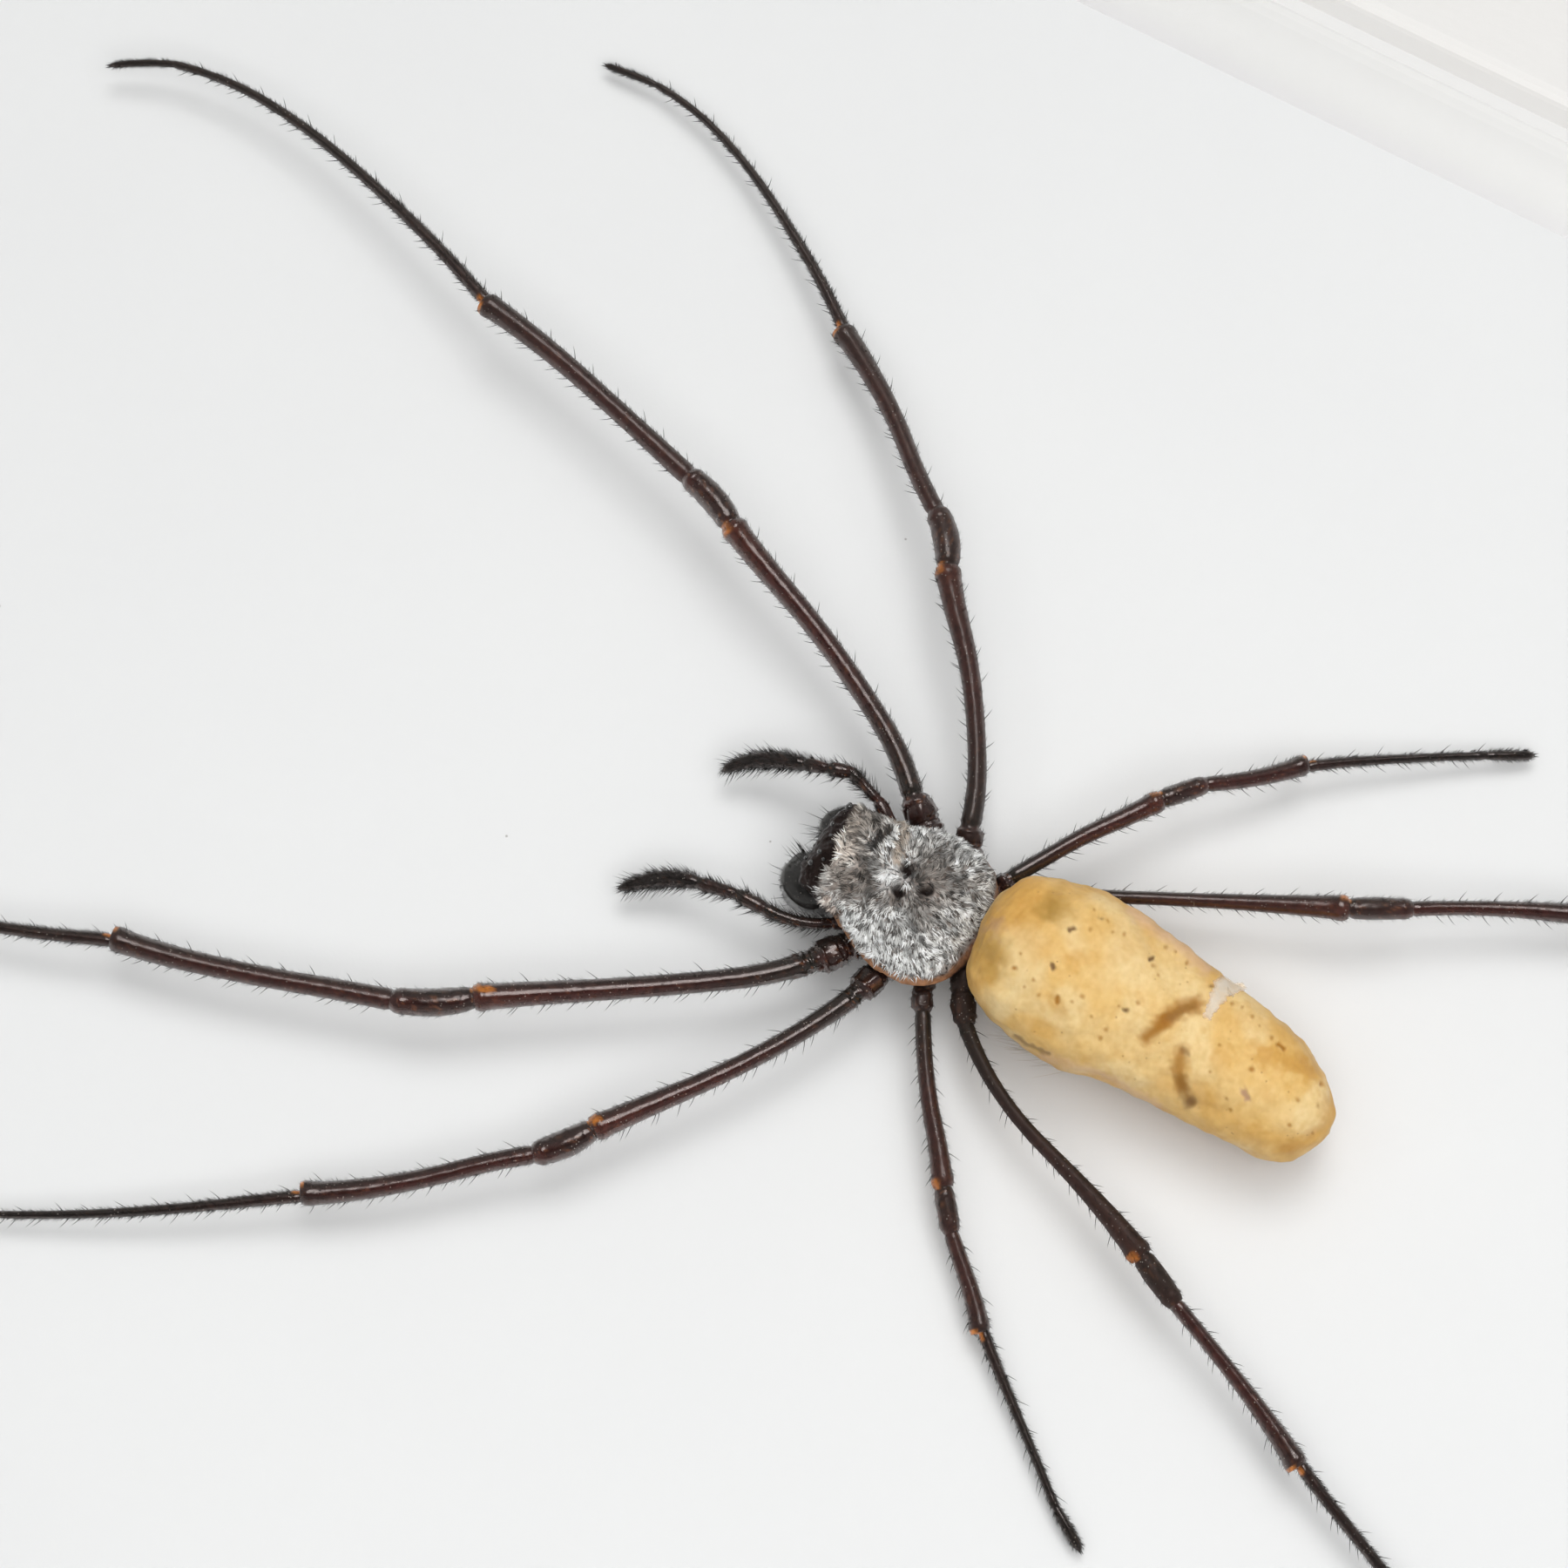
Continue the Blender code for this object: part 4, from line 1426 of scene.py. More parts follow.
    def _tints(self, line: Line, angles: Array, places: Array) -> Array:
        """Colours the skin by segment, with red patches on the knobbly ones, orange at the soft joints, and a
        painted reflection on the side that faces up the picture.

        Args:
            line: The middle line.
            angles: Angles round it.
            places: The skin's places at these angles.

        Returns:
            A tint for each place, whose mask is its lack of shine.
        """
        tints = np.zeros((*places.shape[:2], 4))
        for index, part in enumerate(self.parts):
            here = line.part == index
            colours = np.array(PART_TINTS[part])
            marks = np.linspace(0, 1, len(colours))
            for channel in range(3):
                tints[here, :, channel] = np.interp(line.share[here], marks, colours[:, channel])[:, None]
        knobs = line.knobs[:, None]
        red = eased(ripples(places, 0.9, self.seed + 2), 0.3, 1.1) * np.clip(knobs, 0, 0.35)
        tints = painted(tints, red, DEEP_RED)
        flecks = eased(ripples(places, 0.36, self.seed + 4), 1.0, 1.6) * np.clip(knobs * 1.2, 0, 0.4)
        tints = painted(tints, flecks, RUST)
        outward = spokes(angles, line.sides, line.uppers)
        # The side facing up the picture is painted black-green: partly the cuticle's own colour, partly a
        # painted reflection
        if self.is_leg:
            tints = painted(tints, eased(outward @ VIEW.up, 0.1, 0.8) * 0.7, BLACK_GREEN)
        tints = painted(tints, self._soft_skin(line, angles) * 0.95, ORANGE)
        pixels, seen = VIEW.pixels(places.reshape(-1, 3)), VIEW.facing(outward).ravel()
        for mark in LEG_MARKS:
            cover = mark.cover(pixels) * seen
            tints = painted(tints, cover.reshape(places.shape[:2]), mark.colour)
        near, far = self.build_notes.dull
        fade = np.where(line.part < 4, near, far)[:, None]
        tints = painted(tints, 0.6 * fade * (tints[..., 0] < 0.2), BLACK_GREEN)
        tints[..., 3] = fade
        return tints

    def _spine_bed(self, sheet: Sheet, line: Line, index: int, rng: Random) -> Bed:
        """Sets evenly spaced roots along both outlines of a segment, two of three on the lower one.

        Args:
            sheet: The limb's skin.
            line: Its middle line.
            index: Which segment it is.
            rng: The source of random numbers.

        Returns:
            The roots.
        """
        length = self.segments[index][0]
        count = int(length / (self.spine_spacing if self.is_leg else self.palp_spine_spacing))
        steps = (np.arange(count) + rng.uniform(0.1, 0.9, count)) / count
        wanted = self.spine_gap / 2 + steps * (length - self.spine_gap)
        stations = np.flatnonzero(line.part == index)
        row = stations[np.abs(line.from_start[stations][None] - wanted[:, None]).argmin(axis=1)]
        lower = (np.arange(count) % 3 > 0)[:, None]
        normals = sheet.normals[row]
        miss = np.abs(normals @ VIEW.back + rng.uniform(-0.35, 0.35, (count, 1)))
        column = (miss + 9 * ((normals @ VIEW.up > 0) == lower)).argmin(axis=1)
        tints = tinted((count,), DARK_HAIR_TINT)
        return Bed(sheet.points[row, column], sheet.normals[row, column], line.tangents[row], tints)

    def _hairs(self, sheet: Sheet, line: Line, rng: Random) -> Draft:
        """Grows short hairs that lean towards the tip, then the stout spines and a leg's two curved claws.

        Args:
            sheet: The limb's skin.
            line: Its middle line.
            rng: The source of random numbers.

        Returns:
            The hairs.
        """
        hairs = Draft()
        for index, part in enumerate(self.parts):
            here = (line.part == index)[:, None] * np.ones(self.sides)
            count = int(part.hairs * self.segments[index][0])
            bed = sheet.bed(rng, count, here)
            bed.tints = tinted((count,), DARK_HAIR_TINT)
            on_palp = part in (Part.PALP_RUN, Part.PALP_TIP)
            hairs.hairs(rng, bed, self.palp_hair if on_palp else self.fine_hair)
        for index, part in enumerate(self.parts):
            if part in SPINY_PARTS:
                bed = self._spine_bed(sheet, line, index, rng)
                hairs.hairs(rng, bed, self.spine if self.is_leg else self.palp_spine)
        if self.is_leg:
            pair = [-3, -3]
            spread = np.array([[self.claw_spread], [-self.claw_spread]])
            roots = line.centres[pair] + line.sides[pair] * spread
            bed = Bed(roots, line.uppers[pair], line.tangents[pair], tinted((2,), BLACK))
            hairs.hairs(rng, bed, self.claw)
        return hairs

    def build(self) -> None:
        """Makes the limb and its hairs."""
        rng = np.random.default_rng(self.seed)
        line = self.line()
        sheet = self.sheet(line)
        draft = Draft()
        draft.tube(sheet)
        skin = draft.piece(f"{self.name}_skin", [LEG_CUTICLE], self.slot)
        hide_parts(self.name)
        self._hairs(sheet, line, rng).piece(f"{self.name}_hairs", [DARK_HAIR], self.slot)


SILVER: Colour = (0.92, 0.92, 0.90)
BEIGE: Colour = (0.90, 0.79, 0.69)
ASH: Colour = (0.24, 0.205, 0.178)
SHADE: Colour = (0.032, 0.026, 0.021)
GREIGE: Colour = (0.43, 0.36, 0.29)
TAN: Colour = (0.44, 0.22, 0.11)
PITCH: Colour = (0.012, 0.008, 0.007)


HEAD_PLACE: Pixel = (-3.1, -9.8)
HEAD_TURN = math.radians(4.5)


def on_head(across: Array, along: Array, height: Array) -> Array:
    """Turns places counted from the middle of the thorax into the spider's.

    Args:
        across: How far to the right they are.
        along: How far ahead they are.
        height: How high they are.

    Returns:
        The spider's places.
    """
    x = HEAD_PLACE[0] + across * math.cos(HEAD_TURN) + along * math.sin(HEAD_TURN)
    y = HEAD_PLACE[1] - across * math.sin(HEAD_TURN) + along * math.cos(HEAD_TURN)
    return np.stack(np.broadcast_arrays(x, y, height), axis=-1)


@dataclass(frozen=True)
class Thorax:
    """The head and thorax: a domed shield of silver hairs, with pits, a dark glossy brow and small eyes.

    The stem is what stands under the shield and carries the legs.
    """

    stem_half_width: float = 2.0
    stem_share: float = 0.6
    stem_bottom: float = 2.9
    stem_rear: float = -4.6
    stem_front: float = 4.5
    stem_ease: float = 0.8
    stem_profile: tuple[Pixel, ...] = ((0.55, 0.0), (0.95, 0.3), (1.0, 0.9))
    rim_depth: float = 0.4
    rim_share: float = 0.9
    belly_depth: float = 0.1
    dome_power: float = 0.85
    rows: int = 190
    dome_points: int = 57
    side_points: int = 5
    # From rear to front: place along the body, half width, height of the edge, height of the top
    shield: Table = (
        (-5.2, 0.7, 5.35, 5.5), (-5.0, 1.7, 5.4, 5.8), (-4.4, 3.4, 5.6, 6.6), (-3.3, 4.75, 5.9, 7.8),
        (-1.7, 5.45, 6.0, 8.5), (0.0, 5.6, 6.1, 8.7), (1.5, 5.3, 6.1, 8.7), (2.8, 4.75, 6.2, 8.8),
        (4.0, 4.2, 6.3, 9.0), (5.2, 3.9, 6.5, 9.2), (6.4, 3.75, 6.7, 9.0), (7.3, 3.5, 6.8, 8.5),
        (7.9, 3.0, 6.9, 7.9), (8.15, 2.2, 6.9, 7.45), (8.25, 1.0, 6.95, 7.1),
    )
    pit_depth: float = 0.65
    fold_height: float = 0.16
    hollow_depth: float = 0.14
    skin: Colour = (0.3, 0.285, 0.27)
    hair_count: int = 10500
    hair: HairKind = HairKind((0.3, 0.62), 0.02, (3, 11), scatter=13, curl=0.05, flat=2.4)
    fovea: Pixel = (1050.0, 1012.0)
    # The pits are pressed in and painted near black: the bare cuticle's own dark colour and painted shade
    # inside them
    pits: Marks = strokes(
        (PITCH, 7, 1.0, 0.5, (1044, 998)), (PITCH, 7.5, 1.0, 0.5, (1031, 1023)),
        (PITCH, 7, 1.0, 0.5, (1063, 1022)),
    )
    folds: Marks = strokes(
        (GREIGE, 5.5, 0.9, 0.7, (996, 908), (1016, 926), (1034, 944), (1041, 958), (1034, 975), (1030, 988)),
        (ASH, 6, 0.4, 0.8, (945, 1012), (975, 1034), (1008, 1034)),
    )
    hollows: Marks = strokes(
        (SHADE, 6, 0.6, 0.9, (1016, 925), (1022, 955), (1015, 985)),
        (ASH, 5, 0.6, 0.9, (1048, 1010), (1052, 1045)),
    )
    brow: Mark = Mark(
        ((976, 918), (962, 938), (951, 960), (944, 984), (930, 1002)), 15, PITCH, 1.0, 0.3, 0.15
    )
    patches: Marks = strokes(
        (BEIGE, 25, 0.9, 0.7, (972, 976)), (GREIGE, 20, 0.75, 0.7, (990, 944)),
        (ASH, 34, 0.8, 0.7, 0.3, (1062, 1024)), (ASH, 22, 0.7, 0.8, 0.3, (1064, 990)),
        (ASH, 24, 0.85, 0.7, 0.4, (990, 1010)), (SHADE, 8, 0.6, 0.8, 0.5, (1091, 1057)),
        (ASH, 24, 0.65, 0.8, 0.4, (1004, 938)), (PITCH, 8, 1.0, 0.6, 0.4, (1010, 963)),
        (PITCH, 6, 0.9, 0.6, 0.4, (1003, 974)), (SHADE, 6, 1.0, 0.6, 0.4, (1019, 956)),
        (SHADE, 6, 1.0, 0.6, 0.4, (1008, 946)), (SHADE, 7, 0.9, 0.7, 0.4, (998, 926)),
        (SHADE, 6, 0.9, 0.7, 0.4, (988, 984)), (SHADE, 5, 0.8, 0.7, 0.4, (985, 958)),
        (SHADE, 6, 1.0, 0.7, 0.4, (975, 1021)), (SHADE, 15, 0.8, 0.8, 0.6, (996, 1000)),
        (ASH, 14, 0.7, 0.8, 0.6, (975, 1012)), (SHADE, 12, 0.6, 0.8, 0.6, (1000, 1026)),
        (SILVER, 13, 1.0, 0.5, (1023, 1006)), (SHADE, 15, 0.6, 0.7, (1048, 1048)),
        (SHADE, 11, 0.6, 0.7, (1056, 1006)), (SHADE, 14, 0.6, 0.8, 0.5, (1083, 981)),
        (SHADE, 16, 0.8, 0.8, 0.5, (1105, 1005)), (ASH, 12, 0.6, 0.8, 0.5, (1122, 1012)),
        (ASH, 9, 0.6, 0.8, (1078, 1012)), (SHADE, 11, 0.5, 0.9, 0.7, (1047, 1075)),
        (SHADE, 8, 0.5, 0.9, 0.7, (1018, 1068)), (ASH, 10, 0.5, 0.9, 0.7, (1075, 1058)),
        (SHADE, 7, 0.5, 0.9, 0.6, (1084, 1093)), (ASH, 10, 0.4, 0.9, 0.6, (1066, 945)),
        ((0.55, 0.53, 0.5), 6, 0.85, 0.7, (945, 1002), (950, 1018)),
        (TAN, 6, 0.5, 0.8, (950, 1030), (958, 1046)),
    )
    # Painted shade: the side of the head below the brow's lower end, which lies in shadow, painted near black
    cheek_shade: Mark = Mark(((925, 1003), (931, 1022), (942, 1042), (950, 1056)), 9, PITCH, 1.0, 0.35)
    rim: Mark = Mark(
        ((964, 1058), (979, 1089), (1008, 1111), (1034, 1123), (1066, 1129), (1112, 1127)), 6, TAN, 0.95, 0.6
    )
    # Pixel of each eye, and its radius
    eyes: Table = (
        (972, 916, 0.18), (975, 926, 0.28), (957, 946, 0.2), (954, 958, 0.15),
        (942, 977, 0.21), (946, 985, 0.15), (932, 990, 0.24), (926, 984, 0.17),
    )
    eye_rises: tuple[float, ...] = (-35, -15, 0, 20, 40, 58, 74, 86)
    eye_sides: int = 20

    def _along(self, points: Array) -> Array:
        """How far ahead of the thorax's middle the spider's places are."""
        across, along = points[..., 0] - HEAD_PLACE[0], points[..., 1] - HEAD_PLACE[1]
        return across * math.sin(HEAD_TURN) + along * math.cos(HEAD_TURN)

    def _slice(self, along: float, half: float, edge: float, top: float) -> Array:
        """Goes once round the shield, from under its middle line, up its right side and down its left.

        Args:
            along: How far ahead this row is.
            half: The shield's half width there.
            edge: The height of its edge.
            top: The height of its top.

        Returns:
            The row's points, as across, along and height.
        """
        under = edge - self.rim_depth
        belly = under - self.belly_depth
        rear = eased(along, self.stem_rear, self.stem_rear + self.stem_ease)
        front = eased(along, self.stem_front, self.stem_front - self.stem_ease)
        bottom = belly + (self.stem_bottom - belly) * float(rear * front)
        stem_half = min(self.stem_half_width, self.stem_share * half)
        stem = [(share * stem_half, bottom + rise * (under - bottom)) for share, rise in self.stem_profile]
        sides = [(self.rim_share * half, under), (0.985 * half, edge - 0.17), (half, edge)]
        shape = np.array([(0.0, bottom), *stem, *sides])
        marks = np.arange(len(shape), dtype=float)
        places = np.linspace(0, len(shape) - 1, self.side_points * (len(shape) - 1), endpoint=False)
        lower = curve(marks, shape, places)
        angles = np.linspace(0, math.pi / 2, self.dome_points)[:-1]
        rise = np.sin(angles) ** self.dome_power
        dome = np.stack([half * np.cos(angles), edge + (top - edge) * rise], axis=1)
        right = np.concatenate([lower, dome])
        left = right[:0:-1] * (-1, 1)
        ring = np.concatenate([right, [(0.0, top)], left])
        return np.column_stack([ring[:, 0], np.full(len(ring), along), ring[:, 1]])

    def _shape(self) -> Sheet:
        """Draws the plain shield, before its pits and folds.

        Returns:
            The plain sheet.
        """
        table = np.array(self.shield)
        rows = along_rows(table, table[:, :2], self.rows)
        points = np.array([self._slice(*row) for row in rows])
        return Sheet(on_head(*np.moveaxis(points, -1, 0)), tinted(points.shape[:2], PITCH))

    def sheet(self) -> Sheet:
        """Gives the shield its relief and its colours, with painted shade in its pits and on the side of the
        head.

        Returns:
            The finished sheet. Its mask is 1 on the glossy brow.
        """
        canvas = Canvas(self._shape(), self.skin)
        flat, height = canvas.flat, canvas.flat[:, 2]
        lumps = 0.05 * ripples(flat, 1.3, 11) + 0.025 * ripples(flat, 0.5, 12)
        canvas.relief = lumps * eased(height, 5.4, 6.6)
        canvas.press(self.pits, self.pit_depth)
        canvas.press((*self.folds, self.brow), -self.fold_height)
        canvas.press(self.hollows, self.hollow_depth)
        canvas.paint(self._gaps(flat), SHADE)
        canvas.paint(eased(height, 6.5, 5.9), BROWN)
        canvas.stain((*self.patches, *self.folds), 0.8)
        canvas.paint(canvas.cover(self.rim) * eased(height, 7.2, 6.8), TAN)
        canvas.paint(eased(np.abs(height - 6.05), 0.5, 0.1) * 0.55, TAN)
        canvas.stain((*self.pits, self.cheek_shade, self.brow))
        ahead = eased(self._along(flat), 7.15, 7.5)
        canvas.paint(ahead, PITCH)
        canvas.tints[:, 3] = np.maximum(canvas.cover(self.brow), ahead)
        return canvas.finished()

    def _gaps(self, flat: Array) -> Array:
        """Finds where the dark skin shows between the tufts, as short streaks that run out from the pits.

        Args:
            flat: Places on the shield.

        Returns:
            A share from 0 to 1 for each.
        """
        rays = (VIEW.pixels(flat) - self.fovea) * np.array([1.0, -1.0]) / 16.0
        reach = np.linalg.norm(rays, axis=1)
        swirl = 0.35 * ripples(flat, 3.0, 20)
        turned = np.stack([6.0 * (np.arctan2(rays[:, 1], rays[:, 0]) + swirl), 1.1 * reach], axis=1)
        return eased(0.9 * ripples(turned, 0.8, 19) + 0.8 * ripples(flat, 0.5, 13), 0.5, 1.2)

    def _hair_bed(self, sheet: Sheet, rng: Random) -> Bed:
        """Says where the silver hairs stand, which way they lie, and their colours.

        Args:
            sheet: The finished shield.
            rng: The source of random numbers.

        Returns:
            The roots.
        """
        canvas = Canvas(sheet, SILVER)
        weights = eased(canvas.flat[:, 2], 6.6, 7.3) * (canvas.normals[:, 2] > 0.05)
        weights = weights * (1 - 0.96 * self._gaps(canvas.flat)) * (self._along(canvas.flat) < 7.0)
        wide_shaded_pits = [replace(pit, width=pit.width * 1.5) for pit in self.pits]
        bare = (*wide_shaded_pits, self.cheek_shade, self.brow, self.brow)
        for marks, share in (((self.rim,), 0.95), (self.folds, 0.85), (bare, 0.98)):
            for mark in marks:
                weights = weights * (1 - share * canvas.cover(mark))
        bed = sheet.bed(rng, self.hair_count, weights.reshape(sheet.points.shape[:2]))
        roots = VIEW.pixels(bed.roots)
        tints = tinted((len(roots),), SILVER)
        for mark in (*self.patches, *self.folds):
            tints = painted(tints, mark.cover(roots), mark.colour)
        tints = painted(tints, self._gaps(bed.roots) * 0.9, SHADE)
        clumps = eased(ripples(bed.roots, 0.5, 15), -0.5, -1.1) * 0.75
        tints = painted(tints, clumps, SHADE)
        patchy = 1 + 0.3 * ripples(bed.roots, 0.7, 24)
        tone = rng.uniform(0.75, 1.25, len(roots)) * np.clip(patchy, 0.25, 1.8)
        tints[:, :3] = np.clip(tints[:, :3] * tone[:, None], 0, 0.93)
        # Painted shade: hairs at the pits' edges are painted near black too, so the pits show as dark holes
        for mark in wide_shaded_pits:
            tints = painted(tints, mark.cover(roots), PITCH)
        middle = bed.roots[np.argmin(np.linalg.norm(roots - self.fovea, axis=1))]
        away = unit(bed.roots - middle) + (0.0, -0.25, 0.0)
        away = away + 0.45 * np.stack([ripples(bed.roots, 1.8, seed) for seed in (16, 17, 18)], axis=1)
        away = away + 0.15 * np.stack([ripples(bed.roots, 0.7, seed) for seed in (21, 22, 23)], axis=1)
        level = away - bed.normals * (away * bed.normals).sum(-1, keepdims=True)
        return Bed(bed.roots + bed.normals * 0.015, bed.normals, unit(level), tints)

    def _eyes(self, draft: Draft, sheet: Sheet) -> None:
        """Sets a domed lens on the brow for each eye.

        Args:
            draft: Where the lenses go.
            sheet: The finished shield.
        """
        flat, normals = sheet.points.reshape(-1, 3), sheet.normals.reshape(-1, 3)
        pixels = np.where(VIEW.facing(normals)[:, None] > 0.5, VIEW.pixels(flat), np.inf)
        for x, y, radius in self.eyes:
            nearest = int(np.argmin(np.linalg.norm(pixels - (x, y), axis=1)))
            centre, normal = flat[nearest], normals[nearest]
            side = unit(np.cross(normal, (0.0, 1.0, 0.2)))
            upper = np.cross(normal, side)
            ring = spokes(full_turn(self.eye_sides), side, upper)
            rows = [
                centre + ring * radius * math.cos(rise) + normal * radius * 0.85 * math.sin(rise)
                for rise in np.radians(self.eye_rises)
            ]
            points = np.array(rows)
            draft.tube(Sheet(points, tinted(points.shape[:2], BLACK)), finish=1)

    def build(self) -> None:
        """Makes the shield with its eyes, and its hairs."""
        rng = np.random.default_rng(41)
        sheet = self.sheet()
        draft = Draft()
        draft.tube(sheet)
        self._eyes(draft, sheet)
        skin = draft.piece("prosoma_shield", [SHIELD_CUTICLE, EYE_LENS], PieceSlot.DOWN)
        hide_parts("prosoma")
        hairs = Draft()
        hairs.hairs(rng, self._hair_bed(sheet, rng), self.hair)
        hairs.piece("prosoma_hairs", [SILVER_HAIR], PieceSlot.DOWN, smooth=False)


@dataclass(frozen=True)
class Jaw:
    """One glossy black jaw with bristles in front and a curved fang under it."""

    side: str
    offset: float
    forward: float = -0.25
    girth: float = 1.0
    sides: int = 48
    row_count: int = 60
    fang_sides: int = 14
    fang_rows: int = 18
    bristle_count: int = 70
    bristle: HairKind = HairKind((0.5, 1.1), 0.022, (20, 50), scatter=22, curl=0.2, rings=3)
    down_count: int = 900
    down: HairKind = HairKind((0.12, 0.3), 0.011, (25, 60), scatter=25)
    # From top to bottom: height, half width, half depth, place along the body
    rows: Table = (
        (6.02, 0.3, 0.3, 7.3), (5.95, 0.9, 0.9, 7.3), (5.7, 1.6, 1.6, 7.45), (5.0, 2.1, 2.15, 7.7),
        (4.0, 2.15, 2.2, 7.7), (3.0, 1.9, 1.9, 7.45), (2.2, 1.45, 1.4, 7.2), (1.5, 0.8, 0.8, 7.0),
        (1.4, 0.3, 0.3, 7.0),
    )

    @property
    def inward(self) -> float:
        """The way to the other jaw, -1 or 1."""
        return -math.copysign(1.0, self.offset)

    def sheet(self) -> Sheet:
        """Draws the bulb, with soft dents.

        Returns:
            The finished sheet.
        """
        table = np.array(self.rows)
        rows = along_rows(table, table[:, :2], self.row_count)
        turns = full_turn(self.sides)
        height, wide, deep, along = (rows[:, [column]] for column in range(4))
        wide, deep = wide * self.girth, deep * self.girth
        across = self.offset + wide * np.cos(turns)
        points = on_head(across, along + self.forward + deep * np.sin(turns), height)
        plain = Sheet(points, tinted(points.shape[:2], BLACK))
        sheet = plain.raised(0.05 * ripples(points, 2.4, 21) + 0.012 * ripples(points, 0.6, 22))
        sheet.tints = painted(sheet.tints, eased(points[..., 2], 3.2, 1.6) * 0.6, BROWN)
        return sheet

    def _fang(self, draft: Draft) -> None:
        """Adds a fang that folds inwards below the bulb.

        Args:
            draft: Where the fang goes.
        """
        shares = np.linspace(0, 1, self.fang_rows)[:, None]
        turns = full_turn(self.fang_sides)
        across = self.offset + self.inward * (0.2 + 1.25 * shares)
        height = 1.75 - 0.85 * np.sin(shares * math.pi * 0.75)
        radius = 0.3 * (1 - 0.9 * shares**1.4)
        points = on_head(across, 7.0 + np.cos(turns) * radius, height + np.sin(turns) * radius)
        draft.tube(Sheet(points, tinted(points.shape[:2], DEEP_RED)))

    def build(self) -> None:
        """Makes the jaw, its fang and its bristles."""
        rng = np.random.default_rng(51 + (self.offset > 0))
        sheet = self.sheet()
        draft = Draft()
        draft.tube(sheet)
        self._fang(draft)
        piece = draft.piece(f"chelicera_{self.side}_bulb", [JAW_CUTICLE], PieceSlot.BLACK)
        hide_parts(f"chelicera_{self.side}")
        front = eased(sheet.normals[..., 1], 0.2, 0.8)
        inner = eased(sheet.normals[..., 0] * self.inward, 0.0, 0.6)
        upper = eased(sheet.points[..., 2], 4.0, 5.4)
        bristles = sheet.bed(rng, self.bristle_count, inner * upper + 0.12 * front)
        bristles.tints = tinted((self.bristle_count,), DARK_HAIR_TINT)
        bristles.along = unit(bristles.normals * 0.4 + np.array([-0.25, 0.85, 0.1]))
        hairs = Draft()
        hairs.hairs(rng, bristles, self.bristle)
        down = sheet.bed(rng, self.down_count, 0.3 + front)
        down.tints = tinted((self.down_count,), DARK_HAIR_TINT)
        hairs.hairs(rng, down, self.down)
        hairs.piece(f"chelicera_{self.side}_hairs", [DARK_HAIR], PieceSlot.BLACK)


CREAM: Colour = (0.89, 0.67, 0.34)
BUFF: Colour = (0.82, 0.53, 0.19)
HONEY: Colour = (0.66, 0.35, 0.075)
OLIVE: Colour = (0.36, 0.20, 0.030)
UMBER: Colour = (0.38, 0.148, 0.008)
OCHRE: Colour = (0.22, 0.092, 0.012)
SOOT: Colour = (0.12, 0.045, 0.014)
ROSE: Colour = (0.78, 0.50, 0.36)
MAUVE: Colour = (0.50, 0.30, 0.19)


